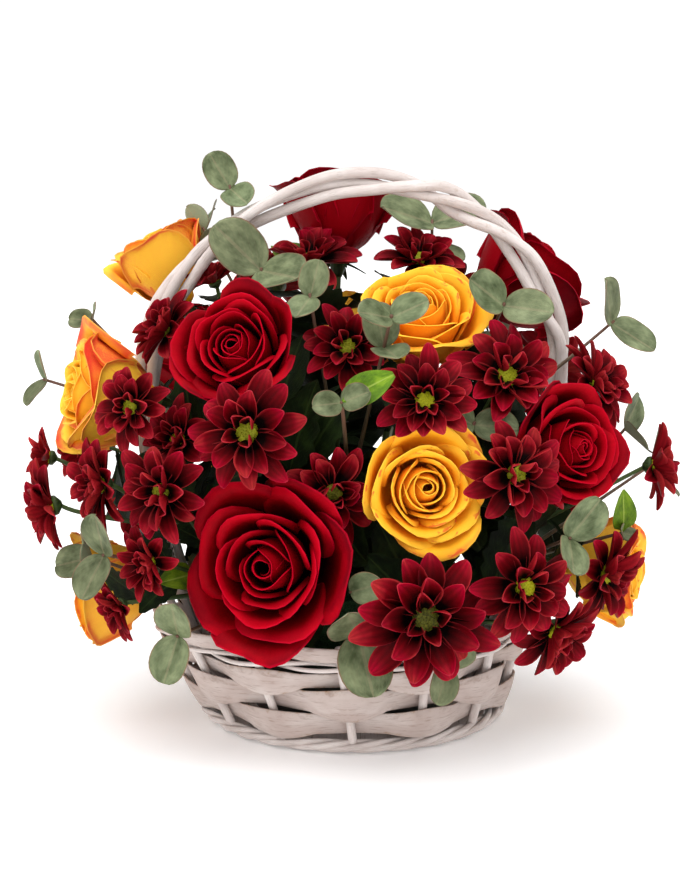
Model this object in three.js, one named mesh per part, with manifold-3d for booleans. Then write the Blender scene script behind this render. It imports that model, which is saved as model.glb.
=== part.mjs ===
// A round whitewashed basket of willow and wood chip with an arched handle, filled with red and yellow
// roses, spray chrysanthemums and eucalyptus that stand in a block of floral foam.
// Millimetres, +Z up, origin at the centre of the base's underside. The front of the arrangement faces -Y.
import * as THREE from "three";
import { mergeVertices } from "three/addons/utils/BufferGeometryUtils.js";
import Module from "manifold-3d";

const wasm = await Module();
wasm.setup();

// The basket.
const BASE_RADIUS = 72; // board of the base
const BASE_THICKNESS = 5;
const WALL_FOOT_RADIUS = 76; // centre line of the stakes at the table
const WALL_RIM_RADIUS = 100; // and at the rim
const RIM_HEIGHT = 60;
const WALL_CURVE = 0.85; // exponent of the bowl's profile
const LEAN_FOOT = 2; // the bowl's centre drifts from +X at the foot
const LEAN_RIM = -5; // to -X at the rim
const STAKE_COUNT = 14;
const STAKE_RADIUS = 2.2;
const STATIONS = 2 * STAKE_COUNT; // one section at each stake and one between
const CHIP_THICKNESS = 1.2;
const CHIP_SWAY = 3.7; // how far a chip passes outside or inside the stakes
// Where a chip passes outside, its lower edge bows down by `bow` and its upper edge up by half as much.
const CHIP_ROWS = [
  { name: "chip_row_lower", bottom: 11, top: 23.2, phase: 1, bow: 3 },
  { name: "chip_row_middle", bottom: 24.6, top: 36.6, phase: 0, bow: 4.5 },
  { name: "chip_row_upper", bottom: 38, top: 46, phase: 1, bow: 4.5 },
  { name: "chip_row_rim", bottom: 54.2, top: 62, phase: 0, bow: 0.2 },
];
const WEAVER_HEIGHT = 50.6; // the twined pair under the rim
const WEAVER_RADIUS = 1.3;
const WEAVER_SWAY = 4.2;
const WEAVER_CLIMB = 1.75;
const FOOT_HALF_WIDTH = 4.6; // the border that the stakes' ends are plaited into
const FOOT_HEIGHT = 7.5;
const LINER = { foot: 52, rim: 70, height: 52, floor: 5.4, wall: 1 };
const FOAM_SIDES = 12;
const FOAM = { footRadius: 50, radius: 56, bottom: 6.8, shoulder: 74, top: 84, topRadius: 42 };

// The handle: three willow rods twisted about a line in the plane y = 0, as [x, z, twist in degrees].
const HANDLE_LINE = [
  [-62, 7.5, 90], [-79, 36, 90], [-92, 72, 90], [-103, 115, 95], [-108, 160, 115], [-106, 195, 150],
  [-99, 219, 180], [-87, 238, 215], [-79, 247, 245], [-70, 254.5, 270], [-60, 262.5, 290],
  [-50, 269, 305], [-30, 278, 330], [-8, 284.5, 360], [13, 285.5, 390], [25, 284.5, 420],
  [36, 282.5, 450], [46, 279.5, 495], [55, 275.5, 540], [66, 269.5, 585], [77, 262, 630],
  [86, 253.5, 665], [93.5, 244, 700], [104, 222, 745], [111, 204, 790], [111, 184, 810],
  [107, 150, 810], [100, 112, 810], [88, 72, 810], [76, 36, 810], [64, 7.5, 810],
];
const ROD_RADIUS = 2.7;
const ROD_OFFSETS = [[-5, -1.5], [0, 3], [5, -1.5]];
const ROD_SIDES = 5;

// Flowers. A facing is [yaw, pitch]: yaw 0 looks at the front, 90 to the right; pitch is above the horizon.
const HEART = new THREE.Vector3(0, 0, 42); // cut stems point at this spot inside the foam
const STEM_END = 24; // and stop this far from it
const STEM_ENTRY = 7; // a stem is straight from this far outside the foam
const CLEARANCE = 0.35;
const SMOOTHING = 0.25; // the most that joining may move a surface
const ROSE_STEM_RADIUS = 2.2;
const ROSES = [
  // name, centre of the mouth, diameter, facing, openness
  ["rose_red_1", [-43, -118, 106], 79, [-16, 8], 1],
  ["rose_red_2", [-58, -80, 211], 66, [-18, 30], 0.8],
  ["rose_red_3", [115, -74, 158], 66, [38, 14], 0.85],
  ["rose_red_4", [-5, 78, 285], 70, [172, 74], 0.9],
  ["rose_red_5", [110, 52, 244], 76, [100, 42], 0.9],
  ["rose_red_6", [-98, 92, 190], 66, [-138, 26], 0.9],
  ["rose_red_7", [62, 118, 118], 68, [152, 8], 0.9],
  ["rose_yellow_1", [-110, 42, 255], 66, [-100, 62], 0.6],
  ["rose_yellow_2", [-143, -38, 182], 70, [-72, 10], 0.8],
  ["rose_yellow_3", [-144, -22, 71], 70, [-84, -8], 0.7],
  ["rose_yellow_4", [37, -45, 227], 68, [6, 52], 0.8],
  ["rose_yellow_5", [37, -112, 142], 66, [10, 8], 0.85],
  ["rose_yellow_6", [154, -14, 79], 66, [74, -5], 0.8],
  ["rose_yellow_7", [10, 112, 196], 62, [176, 26], 0.8],
  ["rose_yellow_8", [-62, 118, 104], 62, [-152, 4], 0.85],
];
// Profile of a petal from root to tip, [radius, height] as shares of the bloom's diameter.
const INNER_PROFILE = [[0.05, -0.54], [0.18, -0.42], [0.16, -0.08], [0.03, 0.03]];
const OUTER_PROFILE = [[0.05, -0.6], [0.3, -0.58], [0.38, -0.25], [0.5, -0.1]];
const ROSE_CORE = [[0, -0.65], [0.1, -0.65], [0.14, -0.4], [0.07, 0], [0, 0.01]];
const ROSE_BASE = 0.65;
const ROSE_FULLNESS = 1.12; // makes up for the flat facets and the cut corners of the petals
const ROSE_PETALS = [
  // layer, from 0 innermost to 1 outermost; turn in degrees; half width in degrees
  [0.44, 170, 84],
  [0.7, 20, 44], [0.78, 164, 44], [0.86, 308, 43], [0.93, 92, 42], [1, 236, 42],
];
const ROSE_PETAL_THICKNESS = 1.6;
const SEPAL_LENGTHS = [17, 12, 7]; // the longest that is clear
const HIP = { radius: 4.2, shoulder: -2.4, depth: 10, socket: 5 }; // the cone that joins the sepals
const SEPAL_THICKNESS = 1.2;
const NECK = 18; // straight length behind a bloom
const SHORT_NECK = 8.5; // and behind one at the handle's side, so that its stem passes the rods
const ROD_REACH = 20;

const SPRAYS = [
  // name, heads as [centre, diameter, facing, cup from 0 flat to 1 closed]
  ["chrysanthemum_spray_1", [
    [[-155, -45, 121], 42, [-72, -12], 0.6], [[-160, -16, 142], 32, [-88, 8], 0.9],
    [[-124, -78, 139], 42, [-58, 2], 0.5], [[-107, -88, 179], 38, [-28, 16], 0.3],
  ]],
  ["chrysanthemum_spray_2", [
    [[-86, -72, 160], 40, [-40, 20], 0.4], [[-95, -34, 212], 40, [-62, 34], 0.5],
    [[-73, 8, 234], 30, [-80, 62], 0.9],
  ]],
  ["chrysanthemum_spray_3", [
    [[-91, -104, 140], 44, [-34, 4], 0.3], [[-116, -76, 76], 30, [-52, -22], 0.9],
    [[-98, -98, 104], 34, [-44, -6], 0.8],
  ]],
  ["chrysanthemum_spray_4", [
    [[-49, -114, 171], 50, [-14, 6], 0.1], [[-8, -100, 138], 44, [4, 8], 0.3],
    [[-1, -66, 206], 40, [-4, 26], 0.4],
  ]],
  ["chrysanthemum_spray_5", [
    [[36, -100, 184], 44, [8, 22], 0.3], [[78, -70, 192], 50, [26, 24], 0.2],
    [[80, -102, 148], 48, [30, 6], 0.3],
  ]],
  ["chrysanthemum_spray_6", [
    [[36, -130, 84], 60, [10, 2], 0.15], [[84, -114, 95], 48, [26, 0], 0.25],
    [[103, -88, 66], 46, [44, -34], 0.5],
  ]],
  ["chrysanthemum_spray_7", [
    [[131, -58, 88], 48, [60, -14], 0.4], [[161, -20, 138], 42, [80, 4], 0.6],
    [[127, -36, 184], 44, [56, 30], 0.4],
  ]],
  ["chrysanthemum_spray_8", [
    [[-22, 36, 244], 46, [-20, 62], 0.4], [[38, 36, 244], 42, [20, 56], 0.4],
    [[58, 84, 222], 46, [140, 44], 0.2],
  ]],
  ["chrysanthemum_spray_9", [
    [[-146, 34, 142], 48, [-100, 6], 0.2], [[-118, 78, 104], 50, [-128, -6], 0.2],
    [[-44, 104, 226], 48, [-160, 42], 0.3], [[-36, 130, 154], 52, [-168, 10], 0.1],
  ]],
  ["chrysanthemum_spray_10", [
    [[118, 84, 178], 50, [128, 22], 0.1], [[120, 84, 96], 50, [130, -8], 0.2],
    [[4, 128, 90], 52, [178, -10], 0.2],
  ]],
];
const HEAD_PETALS = { large: 6, small: 5, from: 46 }; // in each ring, by the head's diameter
const LOWER_RING = { reach: 0.5, flat: 4, cupped: 46, turn: 0, root: 0.11, seat: -0.04 };
const UPPER_RING = { reach: 0.42, flat: 28, cupped: 64, turn: 0.5, root: 0.09, seat: 0.01 };
const HEAD_UNDER = -0.17; // shares of the diameter, as above
const HEAD_OVER = 0.05;
const HEAD_PETAL_WIDTH = 0.2; // share of the diameter
const HEAD_PETAL_THICKNESS = 1.7;
const HEAD_SEAT = 0.13;
const SPRAY_STEM_RADIUS = 1.9;
const SPRAY_BRANCH_RADIUS = 1.3;

const SPRIGS = [
  // name, branches as [tip, pairs of leaves, leaf length, roll of the tip's pair, facing of the pairs]
  ["eucalyptus_sprig_1", [
    [[-64, 12, 284], 1, 27, -55, [0, 10]], [[-46, -18, 242], 1, 34, -35, [-10, 25]],
    [[-140, 16, 213], 2, 25, 20, [-45, 20]], [[-166, 12, 180], 1, 22, 80, [-50, 10]],
  ]],
  ["eucalyptus_sprig_2", [
    [[-120, -100, 108], 2, 24, 80, [-35, 0]], [[-84, -106, 69], 1, 24, 80, [-20, -10]],
    [[-134, -50, 96], 1, 22, 30, [-60, 0]],
  ]],
  ["eucalyptus_sprig_3", [
    [[-20, -62, 232], 2, 24, 75, [-5, 15]], [[-4, -122, 186], 3, 26, 15, [0, 15]],
    [[20, -92, 224], 2, 20, 10, [5, 30]],
  ]],
  ["eucalyptus_sprig_4", [
    [[78, -46, 226], 2, 26, -25, [12, 15]], [[140, -2, 213], 1, 27, -60, [25, 10]],
    [[46, 60, 264], 2, 34, 10, [0, 25]],
  ]],
  ["eucalyptus_sprig_5", [
    [[4, -112, 72], 1, 32, -50, [5, 0]], [[48, -114, 56], 1, 25, 60, [15, -5]],
    [[0, -118, 94], 1, 24, 20, [0, 5]], [[61, -84, 171], 1, 32, 75, [12, 15]],
  ]],
  ["eucalyptus_sprig_6", [
    [[107, -98, 116], 1, 25, 60, [32, 0]], [[140, -48, 108], 1, 27, -20, [55, 0]],
    [[148, -2, 156], 1, 23, 40, [65, 10]], [[166, 20, 132], 1, 23, 80, [75, 10]],
  ]],
  ["eucalyptus_sprig_7", [
    [[-82, 54, 260], 2, 27, 0, [-140, 40]], [[34, 140, 150], 2, 27, 50, [170, 10]],
    [[-100, 116, 146], 2, 26, 20, [-140, 15]], [[92, 100, 216], 2, 27, 80, [140, 30]],
  ]],
];
const NOD = 0.7; // how far the twig's direction turns to the facing at a pair of leaves
const LEAF_THICKNESS = 1.4;
const LEAF_ROOT = 1.5; // half the width of a leaf at its twig
const LEAF_OPENING = 62; // between a leaf and its stem, in degrees
const PAIR_SPACING = 17;
const SPRIG_STEM_RADIUS = 1.6;
const SPRIG_BRANCH_RADIUS = 1.1;

const material = (color, roughness) => new THREE.MeshStandardMaterial({ color, roughness, metalness: 0 });
const MATERIALS = {
  willow: material(0xe6dcd4, 0.6),
  chip: material(0xe3d8cf, 0.65),
  board: material(0xcdbda9, 0.8),
  liner: material(0x1f2a22, 0.4),
  foam: material(0x2f5b33, 0.95),
  red: material(0xb00518, 0.5),
  yellow: material(0xffa90a, 0.5),
  burgundy: material(0x7d0a18, 0.55),
  stem: material(0x4e6b2c, 0.6),
  leaf: material(0x7f967c, 0.6),
};

const basket = new THREE.Group();
const kept = []; // every solid placed so far, for the clearance tests

const rad = THREE.MathUtils.degToRad;
const point = (xyz) => new THREE.Vector3(...xyz);
const UP = new THREE.Vector3(0, 0, 1);

// Solids and clearance.

function solidOf(geometry) {
  const bare = new THREE.BufferGeometry().setAttribute("position", geometry.getAttribute("position"));
  bare.setIndex(geometry.index);
  const merged = mergeVertices(bare, 1e-4);
  return new wasm.Manifold(
    new wasm.Mesh({
      numProp: 3,
      vertProperties: merged.attributes.position.array,
      triVerts: new Uint32Array(merged.index.array),
    }),
  );
}

function geometryOf(solid) {
  const { vertProperties, triVerts } = solid.getMesh();
  const geometry = new THREE.BufferGeometry();
  geometry.setAttribute("position", new THREE.BufferAttribute(new Float32Array(vertProperties), 3));
  geometry.setIndex(new THREE.BufferAttribute(new Uint32Array(triVerts), 1));
  geometry.computeVertexNormals();
  return geometry;
}

function boxOf(solid) {
  const { min, max } = solid.boundingBox();
  return new THREE.Box3(point(min), point(max)).expandByScalar(CLEARANCE);
}

function isClear(solid, others = kept) {
  const box = boxOf(solid);
  return others.every((o) => !o.box.intersectsBox(box) || solid.minGap(o.solid, CLEARANCE) >= CLEARANCE);
}

// The first of some options whose solid is clear of everything placed so far.
function firstClear(options, make, others = kept) {
  for (const option of options) {
    const made = make(option);
    if (isClear(made, others)) return made;
  }
  return null;
}

function join(solids) {
  const bodies = wasm.Manifold.union(solids).simplify(SMOOTHING).decompose();
  return bodies.reduce((a, b) => (b.volume() > a.volume() ? b : a));
}

function keep(name, solid, look) {
  const mesh = new THREE.Mesh(geometryOf(solid), MATERIALS[look]);
  mesh.name = name;
  basket.add(mesh);
  kept.push({ name, solid, box: boxOf(solid) });
  return solid;
}

// Builders of closed surfaces.

// A closed ring through sections that each hold the same number of points, running round the ring's tube.
function ring(sections) {
  const sides = sections[0].length;
  const positions = sections.flat().flatMap((p) => p.toArray());
  const index = [];
  sections.forEach((_, k) => {
    const next = ((k + 1) % sections.length) * sides;
    for (let j = 0; j < sides; j++) {
      const a = k * sides + j;
      const b = k * sides + ((j + 1) % sides);
      const c = next + j;
      const d = next + ((j + 1) % sides);
      index.push(a, c, b, b, c, d);
    }
  });
  return indexed(positions, index);
}

function indexed(positions, index) {
  const geometry = new THREE.BufferGeometry();
  geometry.setAttribute("position", new THREE.Float32BufferAttribute(positions, 3));
  geometry.setIndex(index);
  return geometry;
}

// A blade over a grid of points: its two faces share the grid's outline and stand apart inside it.
function gridBlade(grid, thickness) {
  const rows = grid.length;
  const columns = grid[0].length;
  const isRim = (i, j) => i === 0 || j === 0 || i === rows - 1 || j === columns - 1;
  const positions = [];
  const front = [];
  const back = [];
  grid.forEach((row, i) => {
    front.push([]);
    back.push([]);
    row.forEach((p, j) => {
      front[i].push(positions.push(p) - 1);
      if (isRim(i, j)) {
        back[i].push(front[i][j]);
        return;
      }
      const along = grid[i + 1][j].clone().sub(grid[i - 1][j]);
      const across = grid[i][j + 1].clone().sub(grid[i][j - 1]);
      const out = across.cross(along).setLength(thickness / 2);
      positions[front[i][j]] = p.clone().add(out);
      back[i].push(positions.push(p.clone().sub(out)) - 1);
    });
  });
  const index = [];
  for (let i = 0; i < rows - 1; i++) {
    for (let j = 0; j < columns - 1; j++) {
      const corners = (side) => [side[i][j], side[i][j + 1], side[i + 1][j + 1], side[i + 1][j]];
      const [a, b, c, d] = corners(front);
      const [e, f, g, h] = corners(back);
      // The cut runs away from the outline's own corners, so that no triangle lies wholly on the outline.
      if ((i === 0) === (j === 0)) index.push(a, b, c, a, c, d, e, g, f, e, h, g);
      else index.push(a, b, d, b, c, d, e, h, f, f, h, g);
    }
  }
  return indexed(positions.flatMap((p) => p.toArray()), index);
}

// A blade from an outline and its middle: a fan on each face.
function fanBlade(outline, middle, out, thickness) {
  const lift = out.clone().setLength(thickness / 2);
  const points = [...outline, middle.clone().add(lift), middle.clone().sub(lift)];
  const n = outline.length;
  const index = outline.flatMap((_, k) => {
    const next = (k + 1) % n;
    return [k, next, n, next, k, n + 1];
  });
  return indexed(points.flatMap((p) => p.toArray()), index);
}

// A blade of several lobes round a middle: each lobe is an outline from its root to the next lobe's root,
// with its own middle that the thickness stands on.
function starBlade(lobes, over, under, thickness) {
  const points = [over, under];
  const roots = [];
  const index = [];
  lobes.forEach(({ outline, middle, out }) => {
    const lift = out.clone().setLength(thickness / 2);
    roots.push(points.length);
    points.push(...outline, middle.clone().add(lift), middle.clone().sub(lift));
  });
  lobes.forEach(({ outline }, k) => {
    const root = roots[k];
    const next = roots[(k + 1) % roots.length];
    const path = [...outline.map((_, j) => root + j), next];
    const top = root + outline.length;
    path.slice(1).forEach((to, j) => index.push(path[j], to, top, to, path[j], top + 1));
    index.push(root, top, 0, top, next, 0, top + 1, root, 1, next, top + 1, 1);
  });
  return indexed(points.flatMap((p) => p.toArray()), index);
}

// A rod through a line of points, with a radius at each.
function tube(points, radii, sides) {
  const last = points.length - 1;
  const tangents = points.map((_, k) =>
    points[Math.min(k + 1, last)].clone().sub(points[Math.max(k - 1, 0)]).normalize(),
  );
  const normal = new THREE.Vector3(0, 0, 1).cross(tangents[0]);
  if (normal.length() < 0.05) normal.set(1, 0, 0);
  const positions = points.flatMap((p, k) => {
    normal.addScaledVector(tangents[k], -normal.dot(tangents[k])).normalize();
    const radial = normal.clone().multiplyScalar(radii[k]);
    return Array.from({ length: sides }, (_, j) =>
      p.clone().add(radial.clone().applyAxisAngle(tangents[k], (2 * Math.PI * j) / sides)),
    );
  });
  const index = [];
  for (let k = 0; k < last; k++) {
    for (let j = 0; j < sides; j++) {
      const a = k * sides + j;
      const b = k * sides + ((j + 1) % sides);
      index.push(a, b, b + sides, a, b + sides, a + sides);
    }
  }
  const end = last * sides;
  for (let j = 1; j < sides - 1; j++) index.push(0, j + 1, j, end, end + j, end + j + 1);
  return solidOf(indexed(positions.flatMap((q) => q.toArray()), index));
}

const evenTube = (points, radius, sides) => tube(points, points.map(() => radius), sides);

function turned(profile, sides) {
  const points = profile.map(([r, z]) => new THREE.Vector2(r, z));
  return new THREE.LatheGeometry(points, sides).rotateX(Math.PI / 2);
}

function facing([yaw, pitch]) {
  return new THREE.Vector3(
    Math.sin(rad(yaw)) * Math.cos(rad(pitch)),
    -Math.cos(rad(yaw)) * Math.cos(rad(pitch)),
    Math.sin(rad(pitch)),
  );
}

// The frame of a flower: its local +Z looks along the facing.
function standing(centre, direction) {
  const turn = new THREE.Quaternion().setFromUnitVectors(new THREE.Vector3(0, 0, 1), direction);
  return new THREE.Matrix4().compose(point(centre), turn, new THREE.Vector3(1, 1, 1));
}

// The basket's body.

const wallRadius = (z) => {
  const share = Math.max(z, 0) / RIM_HEIGHT;
  return WALL_FOOT_RADIUS + (WALL_RIM_RADIUS - WALL_FOOT_RADIUS) * share ** WALL_CURVE;
};

const lean = (z) => LEAN_FOOT + ((LEAN_RIM - LEAN_FOOT) * z) / RIM_HEIGHT;

function onWall(angle, z, offset) {
  const r = wallRadius(z) + offset;
  return new THREE.Vector3(lean(z) + r * Math.cos(angle), r * Math.sin(angle), z);
}

// One stake stands right at the front.
const stationAngle = (k) => -Math.PI / 2 + (2 * Math.PI * k) / STATIONS;

function chipRow({ bottom, top, phase, bow }) {
  const sections = Array.from({ length: STATIONS }, (_, k) => {
    const swing = Math.cos((Math.PI * k) / 2 + Math.PI * phase);
    const offset = CHIP_SWAY * swing;
    const angle = stationAngle(k);
    const rise = bow * Math.max(swing, 0);
    const half = CHIP_THICKNESS / 2;
    return [
      onWall(angle, bottom - rise, offset - half),
      onWall(angle, bottom - rise, offset + half),
      onWall(angle, top + rise / 2, offset + half),
      onWall(angle, top + rise / 2, offset - half),
    ];
  });
  return solidOf(ring(sections));
}

function weaver(side) {
  const sides = 4;
  const sections = Array.from({ length: STATIONS }, (_, k) => {
    const angle = stationAngle(k);
    const sway = side * WEAVER_SWAY * Math.cos((Math.PI * k) / 2);
    const climb = side * WEAVER_CLIMB * Math.sin((Math.PI * k) / 2);
    return Array.from({ length: sides }, (_, j) => {
      const round = (2 * Math.PI * j) / sides;
      const z = WEAVER_HEIGHT + climb + WEAVER_RADIUS * Math.sin(round);
      return onWall(angle, z, sway + WEAVER_RADIUS * Math.cos(round));
    });
  });
  return solidOf(ring(sections));
}

function stakesAndFoot() {
  const footRing = Array.from({ length: STATIONS }, (_, k) => {
    const angle = stationAngle(k);
    const swell = 1 + 0.16 * Math.cos(Math.PI * k);
    const half = FOOT_HALF_WIDTH * swell;
    return [
      onWall(angle, 0, half * 0.6),
      onWall(angle, FOOT_HEIGHT * 0.45, half),
      onWall(angle, FOOT_HEIGHT * swell, 0),
      onWall(angle, FOOT_HEIGHT * 0.45, -half),
      onWall(angle, 0, -half * 0.6),
    ];
  });
  const stakes = Array.from({ length: STAKE_COUNT }, (_, k) => {
    const angle = stationAngle(2 * k);
    const heights = [4, 30, RIM_HEIGHT + 1.5];
    return evenTube(heights.map((z) => onWall(angle, z, 0)), STAKE_RADIUS, 4);
  });
  return join([solidOf(ring(footRing)), ...stakes]);
}

function baseBoard() {
  const outline = [[0, 0], [BASE_RADIUS, 0], [BASE_RADIUS, BASE_THICKNESS], [0, BASE_THICKNESS]];
  return solidOf(turned(outline, STATIONS).translate(LEAN_FOOT, 0, 0));
}

function liner() {
  const { foot, rim, height, floor, wall } = LINER;
  const outside = [[0, floor], [foot, floor], [rim, height]];
  const inside = [[rim - wall, height], [foot - wall, floor + wall], [0, floor + wall]];
  const outline = [...outside, ...inside];
  return solidOf(turned(outline, 18));
}

function handleRods() {
  const corners = HANDLE_LINE.map(([x, z]) => new THREE.Vector3(x, 0, z));
  const line = new THREE.CatmullRomCurve3(corners, false, "centripetal");
  return ROD_OFFSETS.map(([across, through]) => {
    const points = HANDLE_LINE.map(([, , degrees], k) => {
      const twist = rad(degrees);
      const tangent = line.getTangent(k / (corners.length - 1));
      const outward = new THREE.Vector3(-tangent.z, 0, tangent.x);
      const inPlane = across * Math.cos(twist) - through * Math.sin(twist);
      const sideways = across * Math.sin(twist) + through * Math.cos(twist);
      return corners[k].clone().addScaledVector(outward, inPlane).add(new THREE.Vector3(0, sideways, 0));
    });
    return evenTube(points, ROD_RADIUS, ROD_SIDES);
  });
}

// The foam before its holes are made.
function foamShape() {
  const { footRadius, radius, bottom, shoulder, top, topRadius } = FOAM;
  const outline = [[0, bottom], [footRadius, bottom], [radius, shoulder], [topRadius, top], [0, top]];
  return solidOf(turned(outline, FOAM_SIDES));
}

const foamBody = foamShape();

// Stems and the holes that they stand in.

const holes = [];

// Where the line from the heart to `to` has left the foam by `STEM_ENTRY`.
function entry(to) {
  const away = to.clone().sub(HEART).normalize();
  const level = FOAM.radius / Math.hypot(away.x, away.y);
  const steep = away.z > 0 ? (FOAM.top - HEART.z) / away.z : Infinity;
  return HEART.clone().addScaledVector(away, Math.min(level, steep) + STEM_ENTRY);
}

// A spot, or where its line from the heart leaves the foam if that is farther out.
function outside(spot) {
  const nearest = entry(spot);
  return spot.distanceTo(HEART) > nearest.distanceTo(HEART) ? spot : nearest;
}

// A stem's straight part, [end inside the foam, foot outside], with its foot shifted to the first of these
// places that is clear.
const SHIFTS = [
  [0, 0, 0], [0, 0, 7], [0, 0, -7], [7, 0, 0], [-7, 0, 0], [0, 7, 0], [0, -7, 0], [0, 0, 14], [14, 0, 0],
  [-14, 0, 0], [0, 14, 0], [0, -14, 0], [9, 9, 9], [-9, 9, 9], [9, -9, 9], [-9, -9, 9],
];

function rooted(foot, radius) {
  const lines = SHIFTS.map((shift) => {
    const from = outside(foot.clone().add(point(shift)));
    const inward = HEART.clone().sub(from).normalize();
    return [HEART.clone().addScaledVector(inward, -STEM_END), from];
  });
  const line = lines.find((ends) => isClear(evenTube(ends, radius + CLEARANCE, 4))) ?? lines[0];
  const [end, from] = line;
  const beyond = end.clone().add(end.clone().sub(from).setLength(CLEARANCE));
  holes.push(evenTube([beyond, from], radius + 1.3 * CLEARANCE, 4));
  return line;
}

// A stem or branch between two spots bows to the first side that is clear.
const BOWS = [
  [0, 0, 0], [0, 0, 12], [0, 0, -12], [12, 0, 0], [-12, 0, 0], [0, 12, 0], [0, -12, 0],
  [18, 0, 14], [-18, 0, 14], [0, 20, 14], [0, -20, 14], [0, 0, 26], [0, 26, 0], [0, -26, 0],
  [28, 0, 0], [-28, 0, 0], [0, 34, 20], [0, -34, 20], [0, 40, 0], [0, -40, 0],
];

function bowed(from, to, bow) {
  const middle = from.clone().lerp(to, 0.5).add(point(bow));
  return new THREE.QuadraticBezierCurve3(from, middle, to);
}

function clearPath(from, to, radius, sides, steps) {
  const others = [...kept, { solid: foamBody, box: boxOf(foamBody) }];
  const made = BOWS.map((bow) => bowed(from, to, bow)).find((path) =>
    isClear(evenTube(path.getPoints(steps), radius, sides), others),
  );
  if (!made) throw new Error(`no clear way from ${from.toArray()} to ${to.toArray()}`);
  return made;
}

// Roses.

function petalProfile(layer, v) {
  const corners = INNER_PROFILE.map(([r, z], k) => [
    THREE.MathUtils.lerp(r, OUTER_PROFILE[k][0], layer),
    THREE.MathUtils.lerp(z, OUTER_PROFILE[k][1], layer),
  ]);
  const curve = new THREE.CubicBezierCurve(...corners.map((c) => new THREE.Vector2(...c)));
  return curve.getPoint(v);
}

function rosePetal([layer, turn, halfWidth], [wide, deep]) {
  const rows = [0, 0.56, 1];
  const columns = [-1, 0, 1];
  const grid = rows.map((v) =>
    columns.map((u) => {
      const angle = rad(turn) + u * rad(halfWidth) * (0.3 + 0.7 * v);
      const { x: r, y: z } = petalProfile(layer, v * (1 - 0.17 * u * u));
      const radius = wide * r * (1 + 0.05 * u);
      return new THREE.Vector3(radius * Math.cos(angle), radius * Math.sin(angle), deep * z);
    }),
  );
  return solidOf(gridBlade(grid, ROSE_PETAL_THICKNESS));
}

// A petal that meets a neighbour stays this much more closed.
const CLOSED = [1, 0.85, 0.7, 0.55, 0.4];

function rose([name, centre, diameter, look, openness]) {
  const place = standing(centre, facing(look)).elements;
  const reach = THREE.MathUtils.lerp(INNER_PROFILE.at(-1)[0], OUTER_PROFILE.at(-1)[0], openness);
  const scale = [diameter * Math.sqrt(0.5 / reach) * ROSE_FULLNESS, diameter];
  const profile = ROSE_CORE.map(([r, z]) => [r * scale[0], z * scale[1]]);
  const core = solidOf(turned(profile, 6)).transform(place);
  const petals = ROSE_PETALS.map(([layer, ...shape]) =>
    firstClear(CLOSED, (share) => rosePetal([layer * openness * share, ...shape], scale).transform(place)),
  );
  keep(name, join([core, ...petals.filter(Boolean)]), name.includes("red") ? "red" : "yellow");
}

function sepalLobe(length, k) {
  const turn = (x, y, z) => new THREE.Vector3(x, y, z).applyAxisAngle(UP, (2 * Math.PI * k) / 5);
  const root = turn(HIP.radius, 0, HIP.shoulder).applyAxisAngle(UP, -Math.PI / 5);
  return {
    outline: [root, turn(length, 0, -0.45 * length)],
    middle: turn(0.55 * length, 0, -0.2 * length - 1),
    out: UP,
  };
}

function sepals(place) {
  const lobes = Array.from({ length: 5 }, (_, k) => {
    const [shortest] = SEPAL_LENGTHS.slice(-1);
    const clear = SEPAL_LENGTHS.find((length) => {
      const { outline, middle, out } = sepalLobe(length, k);
      const closing = sepalLobe(length, k + 1).outline[0];
      const blade = fanBlade([...outline, closing], middle, out, SEPAL_THICKNESS);
      return isClear(solidOf(blade).transform(place));
    });
    return sepalLobe(clear ?? shortest, k);
  });
  const tip = point([0, 0, -HIP.depth]);
  return solidOf(starBlade(lobes, point([0, 0, 0]), tip, SEPAL_THICKNESS)).transform(place);
}

// The way from the foam to the back of a bloom: straight in the foam, bowed outside, straight at the neck.
function stalkLine(seat, direction, neck) {
  const bend = seat.clone().addScaledVector(direction, -neck);
  const straight = rooted(entry(bend), ROSE_STEM_RADIUS);
  return [straight[0], ...clearPath(straight[1], bend, ROSE_STEM_RADIUS, 4, 2).getPoints(2)];
}

function roseStem([name, centre, diameter, look]) {
  const direction = facing(look);
  const seat = point(centre).addScaledVector(direction, -ROSE_BASE * diameter - CLEARANCE);
  const place = standing(seat.toArray(), direction).elements;
  const line = stalkLine(seat, direction, Math.abs(centre[1]) < ROD_REACH ? SHORT_NECK : NECK);
  const socket = seat.clone().addScaledVector(direction, -HIP.socket);
  const stalk = evenTube([...line, socket], ROSE_STEM_RADIUS, 4);
  keep(`${name}_stem`, join([stalk, sepals(place)]), "stem");
}

// Chrysanthemums.

// Each petal takes the first of these bends that clears its neighbours: [extra lift in degrees, share of its
// length].
const BENDS = [
  [0, 1], [14, 1], [-14, 1], [28, 0.95], [-28, 0.95], [42, 0.9], [0, 0.8], [28, 0.7], [50, 0.7], [-28, 0.7],
  [0, 0.6], [40, 0.5], [70, 0.5], [0, 0.45], [0, 0.35],
];

const petalCount = (diameter) => (diameter < HEAD_PETALS.from ? HEAD_PETALS.small : HEAD_PETALS.large);

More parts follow.
